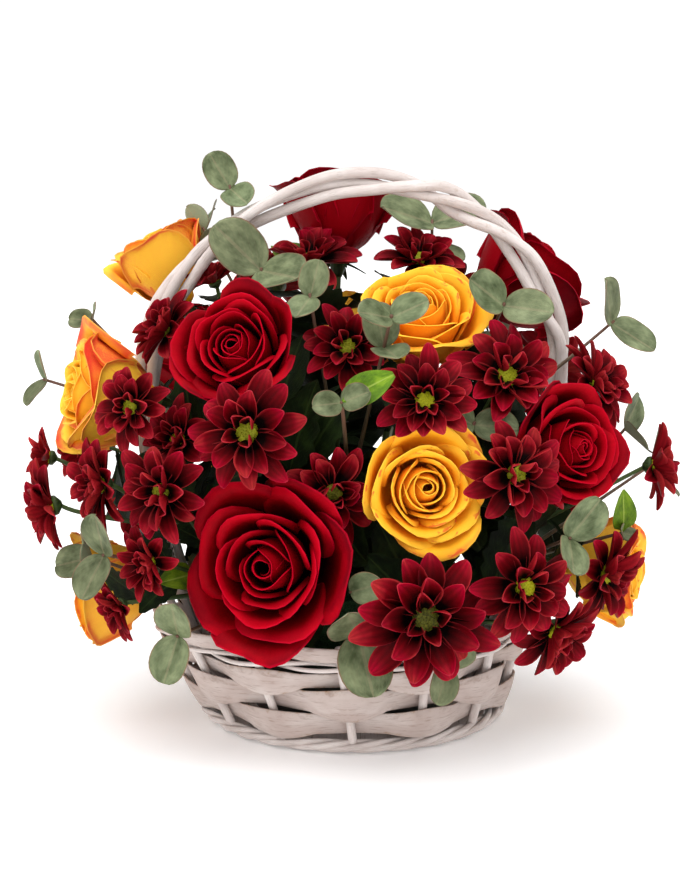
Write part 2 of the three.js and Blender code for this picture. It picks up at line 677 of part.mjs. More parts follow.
function headLobe(ring, diameter, lift, share, k) {
  const length = ring.reach * diameter * share - ring.root * diameter;
  const half = (HEAD_PETAL_WIDTH * diameter) / 2;
  const step = (2 * Math.PI) / petalCount(diameter);
  const turn = step * (k + ring.turn);
  const base = new THREE.Vector3(ring.root * diameter, 0, ring.seat * diameter);
  const hinge = new THREE.Vector3(0, -1, 0);
  // From a spot on the flat petal, measured from its root along and across, to its place in the head.
  const spot = (x, y, z = 0) =>
    new THREE.Vector3(x, y, z).applyAxisAngle(hinge, rad(lift)).add(base).applyAxisAngle(UP, turn);
  const root = base.clone().applyAxisAngle(UP, turn - step / 2);
  return {
    outline: [root, spot(0.93 * length, -half), spot(0.93 * length, half)],
    middle: spot(0.55 * length, 0, -0.03 * length),
    out: spot(0, 0, 1).sub(spot(0, 0)),
  };
}

function headRing(ring, diameter, cup, place) {
  return Array.from({ length: petalCount(diameter) }, (_, k) => {
    const lift = THREE.MathUtils.lerp(ring.flat, ring.cupped, cup);
    const bend = BENDS.find(([more, share]) => {
      const { outline, middle, out } = headLobe(ring, diameter, lift + more, share, k);
      const closing = headLobe(ring, diameter, 0, 1, k + 1).outline[0];
      const blade = fanBlade([...outline, closing], middle, out, HEAD_PETAL_THICKNESS);
      return isClear(solidOf(blade).transform(place));
    });
    const [more, share] = bend ?? BENDS.at(-1);
    return headLobe(ring, diameter, lift + more, share, k);
  });
}

// Two rings of petals, half a step apart, joined by the band between the upper faces of the one and the
// lower faces of the other.
function head([centre, diameter, look, cup]) {
  const place = standing(centre, facing(look)).elements;
  const points = [point([0, 0, HEAD_OVER * diameter]), point([0, 0, HEAD_UNDER * diameter])];
  const index = [];
  const [lower, upper] = [LOWER_RING, UPPER_RING].map((ring) =>
    headRing(ring, diameter, cup, place).map(({ outline, middle, out }) => {
      const root = points.length;
      const top = root + outline.length;
      const lift = out.clone().setLength(HEAD_PETAL_THICKNESS / 2);
      points.push(...outline, middle.clone().add(lift), middle.clone().sub(lift));
      return { root, path: outline.map((_, j) => root + j), top, bottom: top + 1 };
    }),
  );
  const count = petalCount(diameter);
  const next = (petals, k) => petals[(k + 1) % count];
  [lower, upper].forEach((petals) =>
    petals.forEach(({ path, top, bottom }, k) => {
      const whole = [...path, next(petals, k).root];
      whole.slice(1).forEach((to, j) => index.push(whole[j], to, top, to, whole[j], bottom));
    }),
  );
  lower.forEach(({ root, top, bottom }, k) => {
    const over = upper[k];
    const before = upper[(k + count - 1) % count];
    index.push(bottom, root, 1, next(lower, k).root, bottom, 1);
    index.push(over.root, over.top, 0, over.top, next(upper, k).root, 0);
    index.push(root, top, over.root, top, next(lower, k).root, over.root);
    index.push(over.bottom, over.root, next(lower, k).root, before.bottom, root, over.root);
  });
  return solidOf(indexed(points.flatMap((p) => p.toArray()), index)).transform(place);
}

// Where branches leave their stem: part of the way from the heart to the middle of what they carry.
function fork(tips, share) {
  const middle = tips.reduce((sum, tip) => sum.add(tip), new THREE.Vector3()).divideScalar(tips.length);
  return outside(HEART.clone().lerp(middle, share));
}

function spray([name, heads]) {
  const seats = heads.map(([centre, diameter, look]) =>
    point(centre).addScaledVector(facing(look), -HEAD_SEAT * diameter),
  );
  const straight = rooted(fork(seats, 0.56), SPRAY_STEM_RADIUS);
  const node = straight[1];
  const branches = seats.map((seat) => {
    const path = clearPath(node, seat, SPRAY_BRANCH_RADIUS, 3, 2);
    return evenTube(path.getPoints(2), SPRAY_BRANCH_RADIUS, 3);
  });
  keep(name, join([evenTube(straight, SPRAY_STEM_RADIUS, 4), ...branches, ...heads.map(head)]), "burgundy");
}

// Eucalyptus.

// A pair of round leaves with short points, folded a little along their ribs, on either side of their twig.
// It takes the first of these options that is clear: [more roll, more opening, share of the length].
const PAIR_OPTIONS = [
  [0, 0, 1], [0, 12, 1], [25, 0, 1], [-25, 0, 1], [0, -14, 0.95], [50, 0, 0.95], [-50, 0, 0.95],
  [90, 0, 0.9], [0, 0, 0.8], [35, 0, 0.75], [-35, 0, 0.75], [90, 0, 0.7], [0, 0, 0.6], [60, 0, 0.5],
  [-60, 0, 0.5], [0, 0, 0.4],
];

// The outline of a leaf, as shares of its length: along it, across it and how far that edge folds up.
const LEAF_OUTLINE = [
  [0.3, -0.38, 0.1], [0.76, -0.35, 0.09], [1, 0, 0.02], [0.76, 0.35, 0.09], [0.3, 0.38, 0.1],
];

// The leaf on one side of a twig at `base` that runs along `along`. Its outline starts at its own root.
function leafLobe(base, along, roll, opening, length) {
  const side = new THREE.Vector3(0, 0, 1).cross(along);
  if (side.length() < 0.05) side.set(1, 0, 0);
  side.normalize().applyAxisAngle(along, rad(roll));
  const across = along.clone().cross(side);
  const direction = side.clone().applyAxisAngle(across, -rad(90 - opening));
  const out = across.clone().cross(direction).negate();
  const spot = (x, y, z) => {
    const flat = base.clone().addScaledVector(direction, x * length).addScaledVector(across, y * length);
    return flat.addScaledVector(out, z * length);
  };
  const root = base.clone().addScaledVector(across, -LEAF_ROOT);
  return {
    outline: [root, ...LEAF_OUTLINE.map((share) => spot(...share))],
    middle: spot(0.45, 0, 0),
    out,
  };
}

function leafPair(path, share, roll, length, look) {
  const base = path.getPoint(share);
  const along = path.getTangent(share).lerp(facing(look), NOD).normalize();
  const over = base.clone().addScaledVector(along, 1.5 * LEAF_ROOT);
  const under = base.clone().addScaledVector(along, -1.5 * LEAF_ROOT);
  return firstClear(PAIR_OPTIONS, ([moreRoll, more, size]) => {
    const lobes = [0, 180].map((half) =>
      leafLobe(base, along, roll + moreRoll + half, LEAF_OPENING + more, length * size),
    );
    return solidOf(starBlade(lobes, over, under, LEAF_THICKNESS));
  });
}

function sprig([name, branches]) {
  const straight = rooted(fork(branches.map(([tip]) => point(tip)), 0.5), SPRIG_STEM_RADIUS);
  const node = straight[1];
  const pieces = [evenTube(straight, SPRIG_STEM_RADIUS, 4)];
  branches.forEach(([tip, pairs, length, roll, look]) => {
    const path = clearPath(node, point(tip), SPRIG_BRANCH_RADIUS, 3, 3);
    pieces.push(evenTube(path.getPoints(3), SPRIG_BRANCH_RADIUS, 3));
    for (let p = 0; p < pairs; p++) {
      const share = 0.985 - (p * PAIR_SPACING) / path.getLength();
      pieces.push(leafPair(path, share, roll + 90 * p, length * (1 + 0.12 * p), look));
    }
  });
  keep(name, join(pieces.filter(Boolean)), "leaf");
}

keep("base_board", baseBoard(), "board");
keep("stakes_and_foot", stakesAndFoot(), "willow");
CHIP_ROWS.forEach((row) => keep(row.name, chipRow(row), "chip"));
keep("rim_weaver_1", weaver(1), "willow");
keep("rim_weaver_2", weaver(-1), "willow");
handleRods().forEach((made, k) => keep(`handle_rod_${k + 1}`, made, "willow"));
keep("liner", liner(), "liner");
ROSES.forEach(rose);
ROSES.forEach(roseStem);
SPRAYS.forEach(spray);
SPRIGS.forEach(sprig);
keep("foam_block", foamBody.subtract(wasm.Manifold.union(holes)), "foam");

export default basket;
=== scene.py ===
"""The looks of a flower basket arrangement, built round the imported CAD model.

Layout values are in millimetres, as in the solids; meshes are written in metres.
"""
import math

import bpy
import numpy as np
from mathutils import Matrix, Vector
from mathutils.bvhtree import BVHTree

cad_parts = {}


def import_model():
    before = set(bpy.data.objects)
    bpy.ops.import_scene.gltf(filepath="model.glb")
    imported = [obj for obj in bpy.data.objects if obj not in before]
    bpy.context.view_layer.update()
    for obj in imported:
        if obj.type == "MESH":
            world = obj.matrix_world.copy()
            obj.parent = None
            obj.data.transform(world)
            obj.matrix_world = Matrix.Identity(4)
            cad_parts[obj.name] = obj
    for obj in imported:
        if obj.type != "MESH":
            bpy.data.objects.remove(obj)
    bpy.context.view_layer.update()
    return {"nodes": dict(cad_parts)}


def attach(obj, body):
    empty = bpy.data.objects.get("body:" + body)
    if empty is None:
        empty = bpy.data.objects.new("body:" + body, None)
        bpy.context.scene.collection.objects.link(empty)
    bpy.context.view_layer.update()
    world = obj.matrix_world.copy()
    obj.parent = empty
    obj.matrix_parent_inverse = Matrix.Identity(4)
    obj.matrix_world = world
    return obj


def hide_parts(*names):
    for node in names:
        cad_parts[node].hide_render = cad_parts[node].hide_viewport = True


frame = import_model()

MM = 0.001
BODY = "root"
RNG = np.random.default_rng(11)
GOLDEN = math.radians(137.508)
UP = np.array([0.0, 0.0, 1.0])
SEEDS = 50  # the numbers that tell blades apart run up to this
ROD_BULGE = 0.35  # how far a rod's end stands out, as a share of its radius

# ---- layout, as in the solids

BASE_RADIUS = 72
BASE_THICKNESS = 5
BOARD_CHAMFER = 0.8
WALL_FOOT_RADIUS = 76
WALL_RIM_RADIUS = 100
RIM_HEIGHT = 60
WALL_CURVE = 0.85
LEAN_FOOT = 2
LEAN_RIM = -5
STAKE_COUNT = 14
STAKE_RADIUS = 2.2
STAKE_ENDS = (3, RIM_HEIGHT + 1.5)
STATIONS = 2 * STAKE_COUNT
CHIP_THICKNESS = 1.2
CHIP_SWAY = 3.7
CHIP_ROWS = [
    # name, bottom, top, phase, bow
    ("chip_row_lower", 11, 23.2, 1, 3),
    ("chip_row_middle", 24.6, 36.6, 0, 4.5),
    ("chip_row_upper", 38, 46, 1, 4.5),
    ("chip_row_rim", 54.2, 62, 0, 0.2),
]
WEAVER_HEIGHT = 50.6
WEAVER_RADIUS = 1.3
WEAVER_SWAY = 4.2
WEAVER_CLIMB = 1.75
LINER = [(0, 5.4), (52, 5.4), (70, 52), (69, 52), (51, 6.4), (0, 6.4)]
HANDLE_LINE = [
    # x, z, twist in degrees
    (-62, 7.5, 90), (-79, 36, 90), (-92, 72, 90), (-103, 115, 95), (-108, 160, 115), (-106, 195, 150),
    (-99, 219, 180), (-87, 238, 215), (-79, 247, 245), (-70, 254.5, 270), (-60, 262.5, 290),
    (-50, 269, 305), (-30, 278, 330), (-8, 284.5, 360), (13, 285.5, 390), (25, 284.5, 420),
    (36, 282.5, 450), (46, 279.5, 495), (55, 275.5, 540), (66, 269.5, 585), (77, 262, 630),
    (86, 253.5, 665), (93.5, 244, 700), (104, 222, 745), (111, 204, 790), (111, 184, 810),
    (107, 150, 810), (100, 112, 810), (88, 72, 810), (76, 36, 810), (64, 7.5, 810),
]
ROD_RADIUS = 2.7
ROD_OFFSETS = [(-5, -1.5), (0, 3), (5, -1.5)]

HEART = np.array([0.0, 0.0, 42.0])
FOAM_RADIUS = 56
FOAM_TOP = 84
STEM_END = 24
STEM_ENTRY = 7
CLEARANCE = 0.35
ROSE_STEM_RADIUS = 2.2
ROSES = {
    # centre of the mouth, diameter, facing, openness
    "rose_red": [
        ((-43, -118, 106), 79, (-16, 8), 1), ((-58, -80, 211), 66, (-18, 30), 0.8),
        ((115, -74, 158), 66, (38, 14), 0.85), ((-5, 78, 285), 70, (172, 74), 0.9),
        ((110, 52, 244), 76, (100, 42), 0.9), ((-98, 92, 190), 66, (-138, 26), 0.9),
        ((62, 118, 118), 68, (152, 8), 0.9),
    ],
    "rose_yellow": [
        ((-110, 42, 255), 66, (-100, 62), 0.6), ((-143, -38, 182), 70, (-72, 10), 0.8),
        ((-144, -22, 71), 70, (-84, -8), 0.7), ((37, -45, 227), 68, (6, 52), 0.8),
        ((37, -112, 142), 66, (10, 8), 0.85), ((154, -14, 79), 66, (74, -5), 0.8),
        ((10, 112, 196), 62, (176, 26), 0.8), ((-62, 118, 104), 62, (-152, 4), 0.85),
    ],
}
FLUSHED_ROSES = ("rose_yellow_1", "rose_yellow_2", "rose_yellow_3", "rose_yellow_6", "rose_yellow_7")
INNER_PROFILE = np.array([(0.05, -0.54), (0.15, -0.42), (0.08, -0.1), (0.018, 0.02)])
OUTER_PROFILE = np.array([(0.05, -0.6), (0.3, -0.58), (0.38, -0.25), (0.5, -0.1)])
ROSE_BASE = 0.65
HIP_DEPTH = 10
HIP_SOCKET = 5
SEPAL_LENGTHS = (17, 12, 7)
NECK = 18
SHORT_NECK = 8.5
ROD_REACH = 20

SPRAYS = [
    # the heads of each spray: centre, diameter, facing, cup
    [
        ((-155, -45, 121), 42, (-72, -12), 0.6), ((-160, -16, 142), 32, (-88, 8), 0.9),
        ((-124, -78, 139), 42, (-58, 2), 0.5), ((-107, -88, 179), 38, (-28, 16), 0.3),
    ],
    [
        ((-86, -72, 160), 40, (-40, 20), 0.4), ((-95, -34, 212), 40, (-62, 34), 0.5),
        ((-73, 8, 234), 30, (-80, 62), 0.9),
    ],
    [
        ((-91, -104, 140), 44, (-34, 4), 0.3), ((-116, -76, 76), 30, (-52, -22), 0.9),
        ((-98, -98, 104), 34, (-44, -6), 0.8),
    ],
    [
        ((-49, -114, 171), 50, (-14, 6), 0.1), ((-8, -100, 138), 44, (4, 8), 0.3),
        ((-1, -66, 206), 40, (-4, 26), 0.4),
    ],
    [
        ((36, -100, 184), 44, (8, 22), 0.3), ((78, -70, 192), 50, (26, 24), 0.2),
        ((80, -102, 148), 48, (30, 6), 0.3),
    ],
    [
        ((36, -130, 84), 60, (10, 2), 0.15), ((84, -114, 95), 48, (26, 0), 0.25),
        ((103, -88, 66), 46, (44, -34), 0.5),
    ],
    [
        ((131, -58, 88), 48, (60, -14), 0.4), ((161, -20, 138), 42, (80, 4), 0.6),
        ((127, -36, 184), 44, (56, 30), 0.4),
    ],
    [
        ((-22, 36, 244), 46, (-20, 62), 0.4), ((38, 36, 244), 42, (20, 56), 0.4),
        ((58, 84, 222), 46, (140, 44), 0.2),
    ],
    [
        ((-146, 34, 142), 48, (-100, 6), 0.2), ((-118, 78, 104), 50, (-128, -6), 0.2),
        ((-44, 104, 226), 48, (-160, 42), 0.3), ((-36, 130, 154), 52, (-168, 10), 0.1),
    ],
    [
        ((118, 84, 178), 50, (128, 22), 0.1), ((120, 84, 96), 50, (130, -8), 0.2),
        ((4, 128, 90), 52, (178, -10), 0.2),
    ],
]
HEAD_SEAT = 0.13
SPRAY_FORK = 0.56
SPRAY_STEM_RADIUS = 1.9
SPRAY_BRANCH_RADIUS = 1.3

SPRIGS = [
    # the branches of each sprig: tip, pairs of leaves, leaf length, roll of the last pair, the pairs' facing
    [
        ((-64, 12, 284), 1, 27, -55, (0, 10)), ((-46, -18, 242), 1, 34, -35, (-10, 25)),
        ((-140, 16, 213), 2, 25, 20, (-45, 20)), ((-166, 12, 180), 1, 22, 80, (-50, 10)),
    ],
    [
        ((-120, -100, 108), 2, 24, 80, (-35, 0)), ((-84, -106, 69), 1, 24, 80, (-20, -10)),
        ((-134, -50, 96), 1, 22, 30, (-60, 0)),
    ],
    [
        ((-20, -62, 232), 2, 24, 75, (-5, 15)), ((-4, -122, 186), 3, 26, 15, (0, 15)),
        ((20, -92, 224), 2, 20, 10, (5, 30)),
    ],
    [
        ((78, -46, 226), 2, 26, -25, (12, 15)), ((140, -2, 213), 1, 27, -60, (25, 10)),
        ((46, 60, 264), 2, 34, 10, (0, 25)),
    ],
    [
        ((4, -112, 72), 1, 32, -50, (5, 0)), ((48, -114, 56), 1, 25, 60, (15, -5)),
        ((0, -118, 94), 1, 24, 20, (0, 5)), ((61, -84, 171), 1, 32, 75, (12, 15)),
    ],
    [
        ((107, -98, 116), 1, 25, 60, (32, 0)), ((140, -48, 108), 1, 27, -20, (55, 0)),
        ((148, -2, 156), 1, 23, 40, (65, 10)), ((166, 20, 132), 1, 23, 80, (75, 10)),
    ],
    [
        ((-82, 54, 260), 2, 27, 0, (-140, 40)), ((34, 140, 150), 2, 27, 50, (170, 10)),
        ((-100, 116, 146), 2, 26, 20, (-140, 15)), ((92, 100, 216), 2, 27, 80, (140, 30)),
    ],
]
NOD = 0.7
LEAF_OPENING = 62
PAIR_SPACING = 17
SPRIG_FORK = 0.5
SPRIG_STEM_RADIUS = 1.6
SPRIG_BRANCH_RADIUS = 1.1

# The choices that the solids were placed with; the one that a node shows is found from its own surface.
SHIFTS = [
    (0, 0, 0), (0, 0, 7), (0, 0, -7), (7, 0, 0), (-7, 0, 0), (0, 7, 0), (0, -7, 0), (0, 0, 14), (14, 0, 0),
    (-14, 0, 0), (0, 14, 0), (0, -14, 0), (9, 9, 9), (-9, 9, 9), (9, -9, 9), (-9, -9, 9),
]
BOWS = [
    (0, 0, 0), (0, 0, 12), (0, 0, -12), (12, 0, 0), (-12, 0, 0), (0, 12, 0), (0, -12, 0),
    (18, 0, 14), (-18, 0, 14), (0, 20, 14), (0, -20, 14), (0, 0, 26), (0, 26, 0), (0, -26, 0),
    (28, 0, 0), (-28, 0, 0), (0, 34, 20), (0, -34, 20), (0, 40, 0), (0, -40, 0),
]
PAIR_OPTIONS = [
    # more roll, more opening, share of the length
    (0, 0, 1), (0, 12, 1), (25, 0, 1), (-25, 0, 1), (0, -14, 0.95), (50, 0, 0.95), (-50, 0, 0.95),
    (90, 0, 0.9), (0, 0, 0.8), (35, 0, 0.75), (-35, 0, 0.75), (90, 0, 0.7), (0, 0, 0.6), (60, 0, 0.5),
    (-60, 0, 0.5), (0, 0, 0.4),
]

# ---- vectors


def vec(xyz):
    return np.array(xyz, float)


def unit(v):
    return v / max(np.linalg.norm(v), 1e-12)


def lerp(a, b, t):
    return a + (b - a) * t


def smoothstep(low, high, x):
    t = np.clip((x - low) / (high - low), 0, 1)
    return t * t * (3 - 2 * t)


def facing(look):
    yaw, pitch = np.radians(look)
    return vec((math.sin(yaw) * math.cos(pitch), -math.cos(yaw) * math.cos(pitch), math.sin(pitch)))


def standing(direction):
    """The rotation that turns +Z to the direction by the shortest way."""
    x, y, _ = np.cross(UP, direction)
    k = np.array([[0, 0, y], [0, 0, -x], [-y, x, 0]])
    return np.eye(3) + k + k @ k / (1 + direction[2])


def spun(v, axis, angle):
    """v turned about a unit axis, by an angle in radians."""
    c, s = math.cos(angle), math.sin(angle)
    return v * c + np.cross(axis, v) * s + axis * np.dot(axis, v) * (1 - c)


def bezier(points, t):
    t = np.asarray(t, float)[..., None]
    if len(points) == 3:
        a, b, c = points
        return a * (1 - t) ** 2 + b * 2 * t * (1 - t) + c * t**2
    a, b, c, d = points
    return a * (1 - t) ** 3 + b * 3 * t * (1 - t) ** 2 + c * 3 * t**2 * (1 - t) + d * t**3


# ---- meshes


class Shape:
    """The vertices, faces and paint of one piece. Paint is (along, across, reverse side, layer) from 0 to 1,
    and flow is a spot on the flat material: along it, across it, and a number of its own for each blade."""

    def __init__(self):
        self.points, self.paint, self.flow, self.faces, self.looks = [], [], [], [], []
        self.count = 0

    def add(self, points, faces, paint, flow, look=0):
        self.points.append(points)
        self.paint.append(np.broadcast_to(paint, (len(points), 4)))
        self.flow.append(flow)
        for block in faces:
            self.faces.extend((block + self.count).tolist())
            self.looks.extend([look] * len(block))
        self.count += len(points)


def quad_net(rows, columns, closed=False):
    """Quads over a grid of rows by columns; closed joins the last column to the first."""
    i, j = np.meshgrid(np.arange(rows - 1), np.arange(columns if closed else columns - 1), indexing="ij")
    i, j = i.ravel(), j.ravel()
    k = (j + 1) % columns
    return np.stack([i * columns + j, i * columns + k, (i + 1) * columns + k, (i + 1) * columns + j], 1)


def blade(shape, grid, thickness, along, across, layer, look, size):
    """A thin closed shell over a grid of points: its faces share the grid's outline and part inside it."""
    rows, columns = grid.shape[:2]
    out = np.cross(np.gradient(grid, axis=1), np.gradient(grid, axis=0))
    out /= np.linalg.norm(out, axis=2, keepdims=True) + 1e-12
    inside = np.zeros((rows, columns, 1))
    inside[1:-1, 1:-1] = thickness / 2
    upper = (grid - out * inside).reshape(-1, 3)
    lower = (grid + out * inside)[1:-1, 1:-1].reshape(-1, 3)
    index = np.arange(rows * columns).reshape(rows, columns)
    under = index.copy()
    under[1:-1, 1:-1] = rows * columns + np.arange((rows - 2) * (columns - 2)).reshape(rows - 2, columns - 2)
    net = quad_net(rows, columns)
    v, u = np.meshgrid(along, across, indexing="ij")
    paint = np.stack([v, np.abs(u), np.where(inside[..., 0] > 0, 0.0, 0.5), np.full_like(v, layer)], 2)
    back = paint[1:-1, 1:-1].copy()
    back[..., 2] = 1
    seed = np.full_like(v, RNG.uniform(0, SEEDS))
    flow = np.stack([v * size[0], u * size[1], seed], 2)
    shape.add(
        np.concatenate([upper, lower]),
        [net[:, ::-1], under.ravel()[net]],
        np.concatenate([paint.reshape(-1, 4), back.reshape(-1, 4)]),
        np.concatenate([flow.reshape(-1, 3), flow[1:-1, 1:-1].reshape(-1, 3)]),
        look,
    )


def frames(line):
    """Unit tangents, and normals carried along an open line without twist."""
    tangents = np.gradient(line, axis=0)
    tangents /= np.linalg.norm(tangents, axis=1, keepdims=True) + 1e-12
    normal = np.cross(UP, tangents[0])
    if np.linalg.norm(normal) < 0.05:
        normal = vec((1, 0, 0))
    normals = []
    for t in tangents:
        normal = unit(normal - t * np.dot(t, normal))
        normals.append(normal)
    return tangents, np.array(normals)


def capped(shape, points, sides, along, layer, flow, look):
    """A closed skin over rings of points, which close on the two poles that come after them."""
    n = (len(points) - 2) // sides
    k = np.arange(sides)
    following = (k + 1) % sides
    first = np.stack([np.full(sides, n * sides), following, k], 1)
    last = np.stack([np.full(sides, n * sides + 1), (n - 1) * sides + k, (n - 1) * sides + following], 1)
    paint = np.zeros((len(points), 4))
    paint[:-2, 0] = np.repeat(along, sides)
    paint[-1, 0] = 1
    paint[:, 3] = layer
    shape.add(points, [quad_net(n, sides, True), first, last], paint, flow, look)


def tube(shape, line, radii, sides, look=0):
    """A round rod through an open line, closed at both ends."""
    line = np.asarray(line, float)
    n = len(line)
    radii = np.broadcast_to(np.asarray(radii, float), (n,))
    tangents, normals = frames(line)
    turn = np.arange(sides) * 2 * np.pi / sides
    sideways = np.cross(tangents, normals)
    rim = np.cos(turn)[None, :, None] * normals[:, None] + np.sin(turn)[None, :, None] * sideways[:, None]
    body = (line[:, None] + rim * radii[:, None, None]).reshape(-1, 3)
    bulge = radii[[0, -1], None] * ROD_BULGE
    ends = np.stack([line[0] - tangents[0] * bulge[0], line[-1] + tangents[-1] * bulge[1]])
    lengths = np.concatenate([[0], np.cumsum(np.linalg.norm(np.diff(line, axis=0), axis=1))])
    flow = np.zeros((n * sides + 2, 3))
    flow[:-2, 0] = np.repeat(lengths, sides)
    flow[-1, 0] = lengths[-1]
    flow[:-2, 1] = np.tile(np.abs(turn / np.pi - 1) * np.pi, n) * np.repeat(radii, sides)
    flow[:, 2] = RNG.uniform(0, SEEDS)
    capped(shape, np.concatenate([body, ends]), sides, lengths / lengths[-1], 0, flow, look)


def hoop(shape, sections, around=0):
    """A closed ring through sections of equally many points. around is the paint across each section."""
    n, sides = sections.shape[:2]
    index = np.arange(n * sides).reshape(n, sides)
    ahead = np.roll(index, -1, 0)
    net = np.stack([index, ahead, np.roll(ahead, -1, 1), np.roll(index, -1, 1)], 2).reshape(-1, 4)
    share = np.arange(n) / n
    radius = np.linalg.norm(sections.mean(1)[:, :2], axis=1).mean()
    across = np.linalg.norm(np.diff(sections, axis=1, append=sections[:, :1]), axis=2).mean(0).cumsum()
    paint = np.zeros((n, sides, 4))
    paint[..., 0] = share[:, None]
    paint[..., 1] = around
    # The flow is mirrored halfway round, both ways, so that it meets itself.
    flow = np.zeros((n, sides, 3))
    flow[..., 0] = ((1 - np.abs(2 * share - 1)) * np.pi * radius)[:, None]
    flow[..., 1] = np.minimum(across, across[-1] - across)
    flow[..., 2] = RNG.uniform(0, SEEDS)
    shape.add(sections.reshape(-1, 3), [net], paint.reshape(-1, 4), flow.reshape(-1, 3))


def lathe(shape, profile, sides, centre=(0, 0, 0), turn=np.eye(3), look=0, layer=0.0):
    """A closed turned form. The profile runs (radius, height) and starts and ends on the axis."""
    inner = np.asarray(profile[1:-1], float)
    angle = np.arange(sides) * 2 * np.pi / sides
    ring = [inner[:, :1] * np.cos(angle), inner[:, :1] * np.sin(angle), np.repeat(inner[:, 1:], sides, 1)]
    poles = np.array([(0, 0, profile[0][1]), (0, 0, profile[-1][1])], float)
    local = np.concatenate([np.stack(ring, 2).reshape(-1, 3), poles])
    flow = local[:, [2, 0, 1]] + RNG.uniform(0, SEEDS)
    capped(shape, local @ turn.T + vec(centre), sides, np.linspace(0, 1, len(inner)), layer, flow, look)


def add_object(name, data):
    made = bpy.data.objects.new(name, data)
    bpy.context.scene.collection.objects.link(made)
    return made


def keep(name, shape, looks, slot, *nodes):
    """Makes one piece of a shape, which stands for its CAD nodes."""
    mesh = bpy.data.meshes.new(name)
    mesh.from_pydata((np.concatenate(shape.points) * MM).tolist(), [], shape.faces)
    paint = mesh.attributes.new("paint", "FLOAT_COLOR", "POINT")
    paint.data.foreach_set("color", np.concatenate(shape.paint).astype(np.float32).ravel())
    flow = mesh.attributes.new("flow", "FLOAT_VECTOR", "POINT")
    flow.data.foreach_set("vector", (np.concatenate(shape.flow) * MM).astype(np.float32).ravel())
    for look in looks:
        mesh.materials.append(look)
    mesh.polygons.foreach_set("material_index", np.array(shape.looks, np.int32))
    mesh.polygons.foreach_set("use_smooth", np.ones(len(shape.faces), bool))
    # The outline of a blade is a sharp edge between its two sides.
    ends = np.empty(2 * len(mesh.edges), np.int32)
    mesh.edges.foreach_get("vertices", ends)
    rim = np.isclose(np.concatenate(shape.paint)[:, 2], 0.5)
    sharp = mesh.attributes.new("sharp_edge", "BOOLEAN", "EDGE")
    sharp.data.foreach_set("value", rim[ends.reshape(-1, 2)].all(1))
    mesh.update()
    piece = add_object(name, mesh)
    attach(piece, BODY)
    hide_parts(*nodes)


# ---- clearance


class Placed:
    """Everything placed so far, as boxes and trees of faces."""

    def __init__(self):
        self.low, self.high = np.empty((0, 3)), np.empty((0, 3))
        self.owners, self.trees = [], []

    def add(self, owner, points, faces):
        self.low = np.vstack([self.low, points.min(0)])
        self.high = np.vstack([self.high, points.max(0)])
        self.owners.append(owner)
        self.trees.append(BVHTree.FromPolygons(points.tolist(), faces))

    def near(self, low, high, ignored):
        hits = np.flatnonzero(((self.low < high) & (self.high > low)).all(1))
        return [self.trees[k] for k in hits if self.owners[k] not in ignored]


placed = Placed()


def remember(owner, grid):
    placed.add(owner, grid.reshape(-1, 3), quad_net(*grid.shape[:2]).tolist())


def remember_shape(owner, shape):
    placed.add(owner, np.concatenate(shape.points), shape.faces)


def settle(name, shape, looks, slot, node):
    """Keeps a piece that later ones stay clear of."""
    remember_shape(node, shape)
    keep(name, shape, looks, slot, node)


def is_clear(grid, *ignored):
    """Whether a grid is clear of everything placed, apart from what belongs to the ignored owners."""
    points = grid.reshape(-1, 3)
    near = placed.near(points.min(0) - CLEARANCE, points.max(0) + CLEARANCE, ignored)
    if not near:
        return True
    tree = BVHTree.FromPolygons(points.tolist(), quad_net(*grid.shape[:2]).tolist())
    return not any(tree.overlap(other) for other in near)


def first_clear(options, make, *ignored):
    """The first option whose grid is clear, or None."""
    for option in options:
        grid = make(option)
        if is_clear(grid, *ignored):
            return grid
    return None


def surface_of(node):
    mesh = frame["nodes"][node].data
    faces = [tuple(p.vertices) for p in mesh.polygons]
    return BVHTree.FromPolygons([v.co / MM for v in mesh.vertices], faces)


def closest(surface, options, keys):
    """The option whose key points lie closest to a node's surface, and how far off they are on average."""
    def off(option):
        return float(np.mean([surface.find_nearest(Vector(p))[3] for p in keys(option)]))

    scores = [off(option) for option in options]
    best = int(np.argmin(scores))
    return options[best], scores[best]


# ---- materials


class Wire:
    """What a node gives out. Arithmetic on it makes Math nodes."""

    def __init__(self, look, socket):
        self.look, self.socket = look, socket

    def __add__(self, other):
        return self.look.math("ADD", self, other)

    def __sub__(self, other):
        return self.look.math("SUBTRACT", self, other)

    def __mul__(self, other):
        return self.look.math("MULTIPLY", self, other)

    def __pow__(self, other):
        return self.look.math("POWER", self, other)


